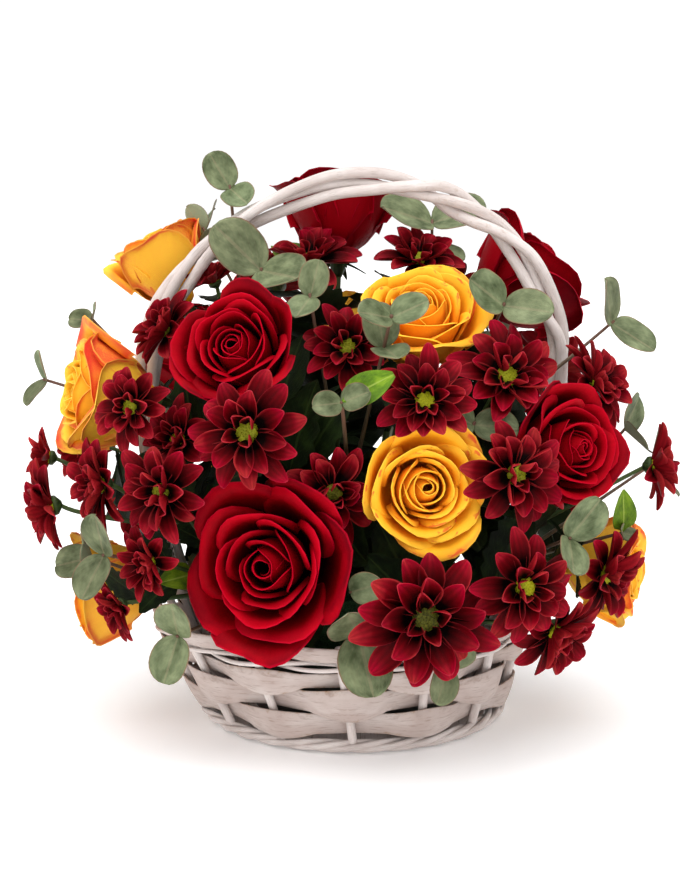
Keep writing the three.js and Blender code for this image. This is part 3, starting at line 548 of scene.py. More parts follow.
class Look:
    """A procedural material or world: its shader and the nodes that feed it."""

    def __init__(self, data, shader="Principled BSDF", **sockets):
        data.use_nodes = True
        self.data, self.tree = data, data.node_tree
        self.shader = self.tree.nodes[shader]
        for socket, value in sockets.items():
            self.feed(self.shader.inputs[socket.replace("_", " ")], value)

    def feed(self, socket, value):
        if isinstance(value, Wire):
            self.tree.links.new(value.socket, socket)
        else:
            socket.default_value = value

    def node(self, kind, inputs, output=0, **settings):
        made = self.tree.nodes.new("ShaderNode" + kind)
        for key, value in settings.items():
            setattr(made, key, value)
        for where, value in inputs.items():
            self.feed(made.inputs[where], value)
        return Wire(self, made.outputs[output])

    def stored(self, name, output):
        """What the points of a shape carry under that name."""
        return self.node("Attribute", {}, output, attribute_name=name)

    def paint(self):
        """The paint's values along, across, reverse and layer."""
        source = self.tree.nodes.new("ShaderNodeAttribute")
        source.attribute_name = "paint"
        parts = self.tree.nodes.new("ShaderNodeSeparateColor")
        self.tree.links.new(source.outputs["Color"], parts.inputs[0])
        return [Wire(self, socket) for socket in (*parts.outputs[:3], source.outputs["Alpha"])]

    def flow(self, scale=(1, 1, 1)):
        return self.node("VectorMath", {0: self.stored("flow", "Vector"), 1: scale}, operation="MULTIPLY")

    def seed(self):
        """A random number for each blade."""
        own = self.node("SeparateXYZ", {0: self.stored("flow", "Vector")}, 2)
        return self.node("TexWhiteNoise", {"W": own}, noise_dimensions="1D")

    def place(self):
        return self.node("TexCoord", {}, "Object")

    def noise(self, vector, scale, detail=3.0, rough=0.6):
        return self.node("TexNoise", {"Vector": vector, "Scale": scale, "Detail": detail, "Roughness": rough})

    def math(self, operation, a, b=0.0):
        return self.node("Math", {0: a, 1: b}, operation=operation)

    def spread(self, value, low, high, to_low=0.0, to_high=1.0):
        """A smooth step from to_low at low to to_high at high."""
        inputs = {0: value, 1: low, 2: high, 3: to_low, 4: to_high}
        return self.node("MapRange", inputs, interpolation_type="SMOOTHSTEP")

    def mix(self, share, a, b):
        return self.node("Mix", {0: share, 6: a, 7: b}, 2, data_type="RGBA")

    def ramp(self, value, stops):
        made = self.tree.nodes.new("ShaderNodeValToRGB")
        self.feed(made.inputs[0], value)
        points = made.color_ramp.elements
        while len(points) < len(stops):
            points.new(0.5)
        for point, (position, colour) in zip(points, stops):
            point.position = position
            point.color = colour
        return Wire(self, made.outputs[0])

    def finish(self, colour, roughness, height, strength, distance):
        """Feeds the shader, with a bump of a height in metres, and gives the material."""
        bump = self.node("Bump", {"Strength": strength, "Distance": distance, "Height": height})
        for socket, value in (("Base Color", colour), ("Roughness", roughness), ("Normal", bump)):
            self.feed(self.shader.inputs[socket], value)
        return self.data


def material(name, **sockets):
    return Look(bpy.data.materials.new(name), **sockets)


def rgb(r, g, b):
    """A linear colour from its 8-bit screen values."""
    return (*[((c / 255 + 0.055) / 1.055) ** 2.4 if c > 10 else c / 255 / 12.92 for c in (r, g, b)], 1.0)


def petal_look(name, colours, flush_from, spots, tone, veins, furrow_shade, **sockets):
    """colours: root, body, tip, reverse, thin margin and flush. A near-black root is painted shade deep in
    the cup, and a much lighter tip is partly a painted highlight on the lit lips. The flush covers the tips
    and the reverse of petals from layer flush_from outwards, and marks the tips with dots by the share spots.
    tone is how much petals differ in brightness, and grooves paints shade into the furrows that run along a
    petal."""
    look = material(name, **sockets)
    root, body, tip, back, rim, flush = (rgb(*c) for c in colours)
    along, across, reverse, layer = look.paint()
    seed = look.seed()
    cloud = look.noise(look.flow(), 70, 2)
    patch = look.spread(look.noise(look.flow(), 48, 2), 0.4, 0.6)
    streak = look.noise(look.flow((60, 700, 60)), 1, 3, 0.7)
    # From root to tip: the near-black root of the red and burgundy looks is painted shade deep in the cup,
    # and the red's light tip is partly a painted highlight on the lit lips.
    colour = look.ramp(along + (cloud * 0.3 - 0.15), [(0.32, root), (0.7, body), (0.98, tip)])
    outer = look.spread(layer, flush_from, flush_from + 0.25)
    behind = look.spread(reverse, 0.55, 0.8)
    colour = look.mix(behind, colour, back)
    # Some petals are flushed over their whole reverse.
    blush = look.spread(seed, 0.7, 0.76) * outer * behind * look.spread(cloud, 0.3, 0.7, 0.55, 0.95)
    colour = look.mix(blush, colour, flush)
    edge = look.math("MAXIMUM", along, across**2)
    worn = edge + (cloud * 0.5 - 0.25)
    colour = look.mix(look.spread(worn, 0.7, 1.04) * (outer * patch), colour, flush)
    dots = look.spread(look.noise(look.flow(), 190, 2), 0.58, 0.66)
    colour = look.mix(dots * look.spread(edge, 0.84, 0.97, 0, spots), colour, flush)
    colour = look.mix(look.spread(edge, 0.955, 0.995, 0, 0.6), colour, rim)
    # Painted shade in furrows that run along a petal, as strong as grooves.
    furrow_shading = look.math("COSINE", across * 13) * furrow_shade + (1 - furrow_shade)
    value = (streak * tone + (1 - tone / 2)) * (seed * tone + (1 - tone / 2)) * furrow_shading
    colour = look.node("HueSaturation", {"Value": value, "Color": colour})
    return look.finish(colour, look.spread(cloud, 0.3, 0.7, 0.5, 0.65), streak, veins, 0.0005)


# The near-black root is painted shade in the cup; the light tip is partly a painted highlight on the lit
# lips, over the petals' own crimson.
RED = petal_look(
    "rose red", [(26, 0, 0), (106, 0, 5), (176, 0, 22), (142, 0, 14), (182, 4, 36), (96, 0, 12)],
    flush_from=0.7, spots=0.0, tone=0.24, veins=0.2, furrow_shade=0.0,
    Sheen_Weight=0.02, Sheen_Roughness=0.35, Sheen_Tint=rgb(255, 0, 50), Specular_IOR_Level=0.04,
)
YELLOW = petal_look(
    "rose yellow",
    [(254, 164, 30), (255, 180, 34), (255, 190, 50), (254, 172, 40), (255, 200, 62), (222, 66, 44)],
    flush_from=0.8, spots=0.8, tone=0.1, veins=0.2, furrow_shade=0.0, Specular_IOR_Level=0.1,
)
FLUSHED = petal_look(
    "rose yellow flushed",
    [(250, 164, 20), (255, 194, 44), (255, 208, 68), (255, 196, 58), (253, 194, 74), (228, 74, 54)],
    flush_from=0.4, spots=0.8, tone=0.1, veins=0.2, furrow_shade=0.0, Specular_IOR_Level=0.1,
)
# The near-black root is painted shade round the disc.
BURGUNDY = petal_look(
    "chrysanthemum burgundy",
    [(10, 0, 0), (110, 0, 12), (166, 0, 38), (140, 16, 26), (192, 50, 68), (166, 42, 42)],
    flush_from=0.6, spots=0.2, tone=0.34, veins=0.6, furrow_shade=0.13, Specular_IOR_Level=0.06,
)


def leaf_look(name, colours, gloss):
    """colours: light, body and dark of the upper side, reverse, thin margin and ribs."""
    look = material(name, Specular_IOR_Level=gloss)
    light, body, dark, back, rim, rib = (rgb(*c) for c in colours)
    along, across, reverse, _ = look.paint()
    seed = look.seed()
    cloud = look.noise(look.flow(), 110, 3)
    fine = look.noise(look.flow(), 900, 3, 0.7)
    colour = look.ramp(cloud, [(0.3, dark), (0.5, body), (0.72, light)])
    colour = look.mix(look.spread(reverse, 0.55, 0.8), colour, back)
    midrib = look.spread(across, 0.09, 0.02)
    colour = look.mix(midrib * 0.75, colour, rib)
    # Side veins leave the rib at a slant.
    slant = across * -0.5 + along
    vein = look.spread(look.math("ABSOLUTE", look.math("SINE", slant * 26)), 0.16, 0)
    colour = look.mix(vein * 0.22, colour, rib)
    edge = cloud * 0.1 + look.math("MAXIMUM", along**3, across)
    colour = look.mix(look.spread(edge, 0.97, 1.05) * 0.7, colour, rim)
    value = (seed * 0.36 + 0.8) * (fine * 0.3 + 0.85)
    colour = look.node("HueSaturation", {"Hue": seed * 0.03 + 0.485, "Value": value, "Color": colour})
    height = (vein + midrib) * 0.5 + fine
    return look.finish(colour, look.spread(fine, 0.2, 0.8, 0.5, 0.7), height, 0.3, 0.0005)


EUCALYPTUS = leaf_look(
    "eucalyptus leaf",
    [(138, 146, 108), (104, 113, 80), (62, 72, 42), (136, 144, 114), (132, 86, 68), (148, 136, 106)], 0.25,
)
# The leaves' own dark green, darkened to near-black as painted shade for the gaps between the flowers; the
# rose sepals share it.
FOLIAGE_DARK_AS_SHADE = leaf_look(
    "green leaf darkened as shade", [(34, 50, 16), (18, 30, 9), (8, 15, 4), (34, 46, 24), (28, 38, 14), (44, 58, 24)], 0.1,
)
YOUNG = leaf_look(
    "young leaf",
    [(132, 156, 34), (92, 122, 16), (58, 84, 12), (110, 132, 50), (96, 104, 34), (150, 166, 70)], 0.2,
)


def stem_look(name, *colours):
    """colours: light, dark and tip."""
    look = material(name, Specular_IOR_Level=0.35)
    light, dark, tip = (rgb(*c) for c in colours)
    along = look.paint()[0]
    streak = look.noise(look.flow((90, 900, 90)), 1, 3)
    colour = look.mix(look.spread(streak, 0.3, 0.7), dark, light)
    colour = look.mix(look.spread(along, 0.5, 1.0, 0, 0.8), colour, tip)
    return look.finish(colour, look.spread(streak, 0.2, 0.8, 0.45, 0.65), streak, 0.4, 0.0006)


GREEN_STEM = stem_look("green stem", (58, 80, 32), (24, 38, 14), (70, 90, 38))
TWIG = stem_look("eucalyptus twig", (100, 88, 62), (62, 52, 38), (108, 72, 58))


def wash_look(name, fineness, worn, streaks, shade=1.0, tint=1.0, bare_from=0.62):
    """Whitewashed wood: a thin white wash over tan wood, thinner along edges and in streaks of the grain."""
    look = material(name, Specular_IOR_Level=0.3)
    edge = look.paint()[1]
    fibre = look.noise(look.flow((34, fineness, 40)), 1, 4, 0.65)
    hair = look.noise(look.flow((110, fineness * 4, 40)), 1, 3, 0.7)
    cloud = look.noise(look.flow((40, 90, 40)), 1, 3)
    spots = look.noise(look.place(), 330, 4, 0.7)
    wash = look.mix(look.spread(cloud, 0.3, 0.7), rgb(204, 189, 183), rgb(226, 215, 210))
    wash = look.mix(look.spread(hair, 0.5, 0.72, 0, streaks), wash, rgb(146, 126, 114))
    bare = look.mix(fibre, rgb(138, 104, 76), rgb(182, 150, 120))
    thin = edge * worn + (fibre * 0.5 + spots * 0.5)
    colour = look.mix(look.spread(thin, bare_from, bare_from + 0.24, 0, 0.85), wash, bare)
    colour = look.node("HueSaturation", {"Saturation": tint, "Value": shade, "Color": colour})
    return look.finish(colour, look.spread(fibre, 0.2, 0.8, 0.5, 0.75), hair * 0.6 + fibre, 0.5, 0.0006)


WILLOW = wash_look("whitewashed willow", 420, worn=0.1, streaks=0.4, tint=0.85, bare_from=0.54)
CHIP = wash_look("whitewashed chip", 300, worn=0.2, streaks=0.5, shade=0.77, tint=1.3)
BOARD = wash_look("whitewashed board", 260, worn=0.1, streaks=0.8)


def disc_look():
    look = material("chrysanthemum disc", Specular_IOR_Level=0.3)
    layer = look.paint()[3]
    grain = look.noise(look.place(), 900, 2)
    stops = [(0.1, rgb(180, 182, 14)), (0.5, rgb(138, 140, 8)), (0.95, rgb(50, 50, 10))]
    colour = look.ramp(layer + (grain * 0.5 - 0.25), stops)
    return look.finish(colour, look.spread(grain, 0.2, 0.8, 0.55, 0.8), grain, 0.5, 0.0008)


def liner_look():
    look = material("liner", Specular_IOR_Level=0.5)
    cloud = look.noise(look.place(), 60, 3)
    colour = look.ramp(cloud, [(0.3, rgb(24, 34, 28)), (0.7, rgb(42, 54, 44))])
    return look.finish(colour, look.spread(cloud, 0.3, 0.7, 0.3, 0.45), cloud, 0.3, 0.001)


def foam_look():
    look = material("foam", Specular_IOR_Level=0.2)
    pores = look.noise(look.place(), 1500, 3, 0.8)
    colour = look.mix(look.spread(pores, 0.35, 0.65), rgb(26, 54, 30), rgb(58, 98, 60))
    colour = look.mix(look.noise(look.place(), 40, 3) * 0.5, colour, rgb(34, 58, 34))
    return look.finish(colour, look.spread(pores, 0.2, 0.8, 0.85, 1.0), pores, 0.9, 0.0008)


# ---- the basket

STEPS = 10  # sections from one station to the next
CHIP_EDGE = [(0.0, 0.35), (0.02, 1.0), (0.25, 1.0), (0.5, 1.0), (0.75, 1.0), (0.98, 1.0), (1.0, 0.35)]
CHIP_CUP = 0.5
CHIP_WEAR, CHIP_WARP = 0.3, 0.12  # how far a chip's edges and its surface stray
STRAND_SIDES = 8
BORDER_STRANDS = 4
BORDER_TURNS = 7
BORDER_HEIGHT, BORDER_RISE, BORDER_SWAY, BORDER_RADIUS = 4.3, 2.1, 2.9, 2.0
SEED_LOW, SEED_HIGH, SEED_WARP, SEED_WEAVER, SEED_BORDER = 20, 40, 60, 80, 90
STAKE_SIDES, ROD_SIDES = 10, 14
ROD_FATTER = 1.1  # the rods of the scene, as a share of the solids' radius
KNOTS = 5
station = np.arange(STATIONS * STEPS) / STEPS
ring_angle = -np.pi / 2 + 2 * np.pi * station / STATIONS


def wall_radius(z):
    share = np.maximum(z, 0) / RIM_HEIGHT
    return WALL_FOOT_RADIUS + (WALL_RIM_RADIUS - WALL_FOOT_RADIUS) * share**WALL_CURVE


def on_wall(angle, z, offset):
    """Points of the wall; the arguments broadcast."""
    angle, z, offset = np.broadcast_arrays(angle, z, offset)
    r = wall_radius(z) + offset
    centre = LEAN_FOOT + (LEAN_RIM - LEAN_FOOT) * z / RIM_HEIGHT
    return np.stack([centre + r * np.cos(angle), r * np.sin(angle), z], -1)


def waves(count, size, seed):
    """A smooth random wave that closes on itself round the basket."""
    rng = np.random.default_rng(seed)
    total = np.zeros_like(ring_angle)
    for k in rng.integers(2, 24, count):
        total += rng.uniform(0.3, 1) * np.sin(k * ring_angle + rng.uniform(0, 2 * np.pi))
    return size * total / math.sqrt(count)


def chip_row(name, bottom, top, phase, bow, number):
    shape = Shape()
    swing = np.cos(np.pi * station / 2 + np.pi * phase)
    # The chip lies flat against a stake for a while before it crosses.
    flat = np.sign(swing) * np.abs(swing) ** 0.8
    rise = bow * np.maximum(swing, 0)
    low = bottom - rise + waves(6, CHIP_WEAR, SEED_LOW + number)
    high = top + rise / 2 + waves(6, CHIP_WEAR, SEED_HIGH + number)
    steps, thin = np.array(CHIP_EDGE).T
    share = np.concatenate([steps, steps[::-1]])
    side = np.concatenate([thin, -thin[::-1]]) * CHIP_THICKNESS / 2
    cup = CHIP_CUP * (1 - (2 * share - 1) ** 2) * np.maximum(swing, 0)[:, None]
    z = low[:, None] + (high - low)[:, None] * share
    offset = CHIP_SWAY * flat[:, None] + side + cup + waves(5, CHIP_WARP, SEED_WARP + number)[:, None]
    hoop(shape, on_wall(ring_angle[:, None], z, offset), np.abs(2 * share - 1) ** 6)
    settle(name, shape, [CHIP], "chip", name)


def strand(shape, z, offset, radius):
    """A round strand along the wall, at a height and an offset from it."""
    turn = np.arange(STRAND_SIDES) * 2 * np.pi / STRAND_SIDES
    radius = radius[:, None]
    z = np.maximum(z[:, None] + radius * np.sin(turn), 0)
    hoop(shape, on_wall(ring_angle[:, None], z, offset[:, None] + radius * np.cos(turn)))


def weaver(name, side):
    shape = Shape()
    wave = np.pi * station / 2
    climb = side * WEAVER_CLIMB * np.sin(wave)
    sway = side * WEAVER_SWAY * np.cos(wave)
    radius = WEAVER_RADIUS * (1 + waves(5, 0.05, SEED_WEAVER + side))
    strand(shape, WEAVER_HEIGHT + climb, sway, radius)
    settle(name, shape, [WILLOW], "willow", name)


def stakes_and_foot():
    shape = Shape()
    heights = np.linspace(*STAKE_ENDS, 14)
    for k in range(STAKE_COUNT):
        angle = -math.pi / 2 + 2 * math.pi * k / STAKE_COUNT
        drift = 0.35 * np.sin(heights / 11 + k * 2.1)
        line = on_wall(angle + drift / 90, heights, 0.2 * np.cos(heights / 9 + k))
        tube(shape, line, STAKE_RADIUS * (1 + 0.05 * np.sin(heights / 6 + 3 * k)), STAKE_SIDES)
    # The border: strands that wind round one another.
    for k in range(BORDER_STRANDS):
        wind = BORDER_TURNS * (ring_angle + np.pi / 2) + k * np.pi / 2
        radius = BORDER_RADIUS * (1 + waves(5, 0.06, SEED_BORDER + k))
        strand(shape, BORDER_HEIGHT + BORDER_RISE * np.sin(wind), BORDER_SWAY * np.cos(wind), radius)
    settle("stakes_and_foot_willow", shape, [WILLOW], "willow", "stakes_and_foot")


def base_board():
    shape = Shape()
    r, h, c = BASE_RADIUS, BASE_THICKNESS, BOARD_CHAMFER
    profile = [(0, 0), (r * 0.5, 0), (r - c, 0), (r, c), (r, h - c), (r - c, h), (r * 0.5, h), (0, h)]
    lathe(shape, profile, 96, (LEAN_FOOT, 0, 0))
    keep("base_board_disc", shape, [BOARD], "board", "base_board")


def liner():
    shape = Shape()
    lathe(shape, LINER, 72)
    settle("liner_shell", shape, [liner_look()], "liner", "liner")


def catmull(points, t):
    """A centripetal Catmull-Rom curve through the points, as three.js draws it, at shares of its spans."""
    spans = len(points) - 1
    made = []
    for share in t:
        i = min(int(share * spans), spans - 1)
        w = share * spans - i
        p1, p2 = points[i], points[i + 1]
        p0 = points[i - 1] if i > 0 else 2 * p1 - p2
        p3 = points[i + 2] if i + 2 <= spans else 2 * p2 - p1
        d0, d1, d2 = (np.linalg.norm(b - a) ** 0.5 for a, b in ((p0, p1), (p1, p2), (p2, p3)))
        m1 = ((p1 - p0) / d0 - (p2 - p0) / (d0 + d1) + (p2 - p1) / d1) * d1
        m2 = ((p2 - p1) / d1 - (p3 - p1) / (d1 + d2) + (p3 - p2) / d2) * d1
        a, b = 2 * p1 - 2 * p2 + m1 + m2, -3 * p1 + 3 * p2 - 2 * m1 - m2
        made.append(p1 + m1 * w + b * w**2 + a * w**3)
    return np.array(made)


def handle_rods():
    corners = np.array([(x, 0, z) for x, z, _ in HANDLE_LINE], float)
    twist = np.radians([w for _, _, w in HANDLE_LINE])
    share = np.linspace(0, 1, len(corners))
    tangent = catmull(corners, np.minimum(share + 1e-4, 1)) - catmull(corners, np.maximum(share - 1e-4, 0))
    tangent /= np.linalg.norm(tangent, axis=1, keepdims=True)
    outward = np.stack([-tangent[:, 2], 0 * share, tangent[:, 0]], 1)
    t = np.linspace(0, 1, 10 * len(corners))
    for k, (across, through) in enumerate(ROD_OFFSETS):
        shape = Shape()
        in_plane = across * np.cos(twist) - through * np.sin(twist)
        sideways = across * np.sin(twist) + through * np.cos(twist)
        bends = corners + outward * in_plane[:, None] + sideways[:, None] * vec((0, 1, 0))
        radii = ROD_RADIUS * (ROD_FATTER + 0.03 * np.sin(t * 40 + k) + 0.02 * np.sin(t * 17 + 2 * k))
        for knot in RNG.uniform(0.1, 0.9, KNOTS):
            radii = radii + 0.14 * np.exp(-(((t - knot) / 0.004) ** 2))
        tube(shape, catmull(bends, t), radii, ROD_SIDES)
        name = f"handle_rod_{k + 1}"
        settle(name + "_willow", shape, [WILLOW], "willow", name)


# ---- stems

# How thick a stem or twig starts and ends, as shares of its radius in the solids.
ROSE_TAPER, SPRAY_TAPER, SPRIG_TAPER = (1.02, 0.95), (1.15, 0.85), (1.15, 0.75)
ROSE_STEM_SIDES, STEM_SIDES, TWIG_SIDES = 10, 8, 7


def entry(to):
    """Where a stem that runs from the heart to a spot leaves the foam, and a little beyond."""
    away = unit(to - HEART)
    level = FOAM_RADIUS / math.hypot(away[0], away[1])
    steep = (FOAM_TOP - HEART[2]) / away[2] if away[2] > 0 else math.inf
    return HEART + away * (min(level, steep) + STEM_ENTRY)


def outside(spot):
    """A spot, or where its line from the heart leaves the foam if that is farther out."""
    nearest = entry(spot)
    return spot if np.linalg.norm(spot - HEART) > np.linalg.norm(nearest - HEART) else nearest


def rooted(surface, foot):
    """The stem's straight part, from its end inside the foam to its foot outside."""
    def end(spot):
        return HEART + unit(spot - HEART) * STEM_END

    feet = [outside(foot + vec(shift)) for shift in SHIFTS]
    found, _ = closest(surface, feet, lambda spot: [spot, end(spot)])
    return end(found), found


def bowed(surface, start, end, shares):
    """The three corners of a branch that bows as the node's does."""
    middle = (start + end) / 2
    bow, _ = closest(surface, [vec(b) for b in BOWS], lambda b: bezier((start, middle + b, end), shares))
    return start, middle + bow, end


def forked(shape, surface, tips, share, radius):
    """The stem of a spray or sprig, up to the fork below its tips, which it gives."""
    fork = outside(lerp(HEART, np.mean(tips, axis=0), share))
    end, node = rooted(surface, fork)
    tube(shape, [end, lerp(end, node, 0.5), node], radius, STEM_SIDES, 1)
    return node


# ---- roses

PETALS = 25
BUD_PETALS = 17
BUD_TO, OPEN_FROM = 0.7, 0.76  # the layers that the bud's petals reach and the open ones start from
PETAL_THICKNESS = 0.5
PETAL_SIZE = (0.55, 0.3)  # its length and half width, as shares of the bloom's diameter
SEPAL_THICKNESS = 0.6
OBSTACLE_FROM = 0.4  # petals from this layer outwards are kept clear by what comes later
ROLL_FROM = 0.76
BLOOM_SPREAD = 1.04
ROSE_ALONG = np.array([0, 0.16, 0.32, 0.46, 0.58, 0.68, 0.76, 0.81, 0.86, 0.9, 0.935, 0.965, 0.985, 1.0])
ROSE_HALF = [0.19, 0.38, 0.56, 0.72, 0.86, 0.96, 1]
ROSE_ACROSS = np.array([-u for u in ROSE_HALF[::-1]] + [0] + ROSE_HALF)
CLOSED = (1, 0.95, 0.9, 0.84, 0.78, 0.7, 0.6, 0.5, 0.4)  # how far a petal opens, tried until it is clear
ROSE_SEAT = [(0, -0.645), (0.05, -0.64), (0.1, -0.6), (0.12, -0.5), (0.07, -0.35), (0, -0.3)]
HIP = [(0, -HIP_DEPTH), (2.3, -9.6), (3.2, -7.5), (4.2, -4.6), (4.4, -2.2), (3.4, -0.3), (0, 0)]
THORNS = 4
THORN_REACH = 3.2


def rose_layers():
    """How far out each petal stands, from the bud's spiral to the open outer petals."""
    bud = BUD_TO * ((np.arange(BUD_PETALS) + 0.4) / BUD_PETALS) ** 1.1
    return np.concatenate([bud, np.linspace(OPEN_FROM, 1.0, PETALS - BUD_PETALS)])


def rose_petal(layer, turn, character, wide, deep):
    """The grid of one petal. character: random numbers from -1 to 1 that set it apart from the others."""
    v = ROSE_ALONG[:, None]
    u = ROSE_ACROSS[None, :]
    corners = lerp(INNER_PROFILE, OUTER_PROFILE, layer)
    # The outline comes to a corner a little beside the middle, with straight flanks.
    side = np.sqrt((u - 0.5 * character[2] * (1 - u**2)) ** 2 + 0.008)
    reach = 1 - lerp(0.03, 0.13, layer) * side - 0.42 * np.abs(u) ** 5
    ripple = 0.014 * np.sin(u * 9 + 5 * character[5]) + 0.05 * character[6] * u
    reach = reach + 0.03 * character[0] + layer * ripple
    t = np.minimum(v / ROLL_FROM, 1) * reach * 0.97
    profile = bezier(corners[:, None, None, :], t)
    ahead = bezier(corners[:, None, None, :], t + 0.02)
    slope = np.arctan2(ahead[..., 1] - profile[..., 1], ahead[..., 0] - profile[..., 0])
    # The tip rolls back along an arc, least at its corner.
    roll = np.radians(lerp(36, 100, layer**0.7) * (1 + 0.5 * character[1]))
    roll = roll * (0.4 + 0.75 * side) * (1 + 0.4 * character[6] * u)
    past = np.maximum(v - ROLL_FROM, 0) / (1 - ROLL_FROM)
    turned = np.maximum(roll * past, 1e-4)
    chord = (0.024 + 0.08 * layer) * past * np.sinc(turned / 2 / np.pi)
    direction = slope - turned / 2
    r = profile[..., 0] + chord * np.cos(direction)
    z = profile[..., 1] + chord * np.sin(direction)
    half = min((0.14 + 0.32 * layer) / (0.04 + 0.47 * layer), math.radians(145)) * (1 + 0.1 * character[3])
    width = 0.3 + 0.7 * np.minimum(v / 0.8, 1) ** 0.9
    spin = turn + u * half * width
    r = r + 0.012 * u * np.minimum(v * 2, 1) + 0.05 * character[4] * layer * (z + 0.6) * v
    r = np.maximum(r, 0.006)
    # Edges ruffle a little.
    wave = np.sin(u * (5 + character[4]) + 3 * character[5]) * v**4
    r = r + layer * 0.02 * wave
    z = z + layer * 0.026 * np.sin(u * 5.3 + 2 * character[6]) * v**3
    z = z - 0.04 * math.exp(-layer / 0.07) * v + 0.014 * character[0] * v
    return np.stack([wide * r * np.cos(spin), wide * r * np.sin(spin), deep * z], 2)


def rose(name, centre, diameter, look, openness):
    shape = Shape()
    turn = standing(facing(look))
    reach = lerp(INNER_PROFILE[-1][0], OUTER_PROFILE[-1][0], openness)
    wide = diameter * math.sqrt(0.5 / reach) * BLOOM_SPREAD
    start = RNG.uniform(0, 2 * math.pi)
    drift = vec((*RNG.uniform(-0.03, 0.03, 2), 0)) * diameter
    for k, layer in enumerate(rose_layers()):
        character = RNG.uniform(-1, 1, 7)
        layer = min(max(layer + 0.03 * RNG.uniform(-1, 1), 0.02), 1)
        spin = start + k * GOLDEN + 0.3 * RNG.uniform(-1, 1)

        def made(share):
            grid = rose_petal(layer * openness * share, spin, character, wide, diameter)
            grid = grid + drift * (1 - layer) * ROSE_ALONG[:, None, None]
            return grid @ turn.T + vec(centre)

        grid = first_clear(CLOSED, made, name)
        if grid is None:
            grid = made(CLOSED[-1])
        size = (PETAL_SIZE[0] * diameter, PETAL_SIZE[1] * diameter)
        blade(shape, grid, PETAL_THICKNESS, ROSE_ALONG, ROSE_ACROSS, layer, 0, size)
        if layer > OBSTACLE_FROM:
            remember(name, grid)
    lathe(shape, [(r * diameter, z * diameter) for r, z in ROSE_SEAT], 14, centre, turn, 0, 0.5)
    kind = name[: name.rindex("_")]
    petals = RED if kind == "rose_red" else FLUSHED if name in FLUSHED_ROSES else YELLOW
    keep(name + "_bloom", shape, [petals], kind, name)


def rose_stem(name, centre, diameter, look, _):
    node = f"{name}_stem"
    surface = surface_of(node)
    shape = Shape()
    direction = facing(look)
    turn = standing(direction)
    seat = vec(centre) - direction * (ROSE_BASE * diameter + CLEARANCE)
    neck = SHORT_NECK if abs(centre[1]) < ROD_REACH else NECK
    bend = seat - direction * neck
    end, foot = rooted(surface, entry(bend))
    path = bezier(bowed(surface, foot, bend, [0.5]), np.linspace(0, 1, 13))
    line = np.concatenate([[end, lerp(end, foot, 0.5)], path, [seat - direction * HIP_SOCKET]])
    tube(shape, line, np.linspace(*ROSE_TAPER, len(line)) * ROSE_STEM_RADIUS, ROSE_STEM_SIDES)
    lathe(shape, HIP, 16, seat, turn)
    for k in range(5):
        spin = 2 * math.pi * k / 5

        def tip(length):
            return turn @ (vec((length * math.cos(spin), length * math.sin(spin), -0.45 * length))) + seat

        length, _ = closest(surface, SEPAL_LENGTHS, lambda n: [tip(n)])
        sepal(shape, seat, turn, spin, length)
    for k in range(THORNS):
        thorn(shape, path, 0.15 + 0.2 * k, k * 2.2)
    branches.append((node, path, ROSE_STEM_RADIUS, False))
    settle(f"{node}_green", shape, [GREEN_STEM, FOLIAGE_DARK_AS_SHADE], "stem", node)


def sepal(shape, seat, turn, spin, length):
    v = np.linspace(0, 1, 8)
    u = np.array([-1, -0.55, 0, 0.55, 1])
    half = (2.6 * (1 - v) ** 0.7 + 0.25)[:, None] * (0.45 + 0.55 * min(length / 12, 1))
    x = (2.5 + (length - 2.5) * v)[:, None] + 0 * u
    y = half * u
    z = -1.6 - (0.45 * length - 1.6) * (v**1.4)[:, None] + 0.25 * half * u**2
    c, s = math.cos(spin), math.sin(spin)
    grid = np.stack([x * c - y * s, x * s + y * c, z], 2) @ turn.T + seat
    blade(shape, grid, SEPAL_THICKNESS, v, u, 0.5, 1, (length, 3))


def thorn(shape, path, share, spin):
    k = int(share * (len(path) - 1))
    tangents, normals = frames(path)
    out = spun(normals[k], tangents[k], spin)
    root = path[k] + out * ROSE_STEM_RADIUS * 0.8
    tip = root + out * THORN_REACH - tangents[k] * 1.4
    tube(shape, [root, lerp(root, tip, 0.5) + tangents[k] * 0.3, tip], [1.1, 0.6, 0.12], 6)


# ---- chrysanthemums

HEAD_RINGS = [
    # ligules, reach, lift when flat and when cupped, curl, spoon, point, root, seat, width, start
    (11, 0.58, 6, 44, -20, 0.45, 3.8, 0.1, -0.05, 0.275, 0.0),
    (8, 0.48, 24, 56, 4, 0.75, 5.0, 0.095, -0.025, 0.255, 0.5),
    (4, 0.32, 44, 68, 26, 1.0, 5.5, 0.09, 0.0, 0.18, 0.3),
]
LOOSENED = 0.7  # the share of a head's cup that its fine ligules keep
SMALL_HEAD = 40  # heads below this diameter have a ligule fewer in each ring
LIGULE_THICKNESS = 0.45
LIGULE_LAYER = 0.9
LIGULE_ALONG = np.array([0, 0.12, 0.26, 0.4, 0.54, 0.67, 0.78, 0.87, 0.94, 0.985, 1.0])
LIGULE_ACROSS = np.array([-1, -0.85, -0.45, 0, 0.45, 0.85, 1])
BENDS = [  # (more lift, share of the length), tried until a ligule is clear
    (0, 1), (12, 1), (-12, 1), (24, 0.96), (-24, 0.96), (38, 0.9), (55, 0.8), (30, 0.7), (60, 0.6), (75, 0.5),
]
# As shares of the head's diameter, and the radii of the cup and cap of the disc's own radius.
DISC_SHARE = 0.115
DISC_CUP = [(0, -0.17), (0.3, -0.165), (1.05, -0.1), (1.1, -0.05), (0, -0.04)]
DISC_CAP = [(0, -0.05), (1, -0.04), (1, 0.01), (0.75, 0.035), (0.4, 0.045), (0, 0.045)]
RIPE_HEAD, RIPE = 55, 0.85  # a head above this diameter has a ripe, brown disc
FLORETS = 46


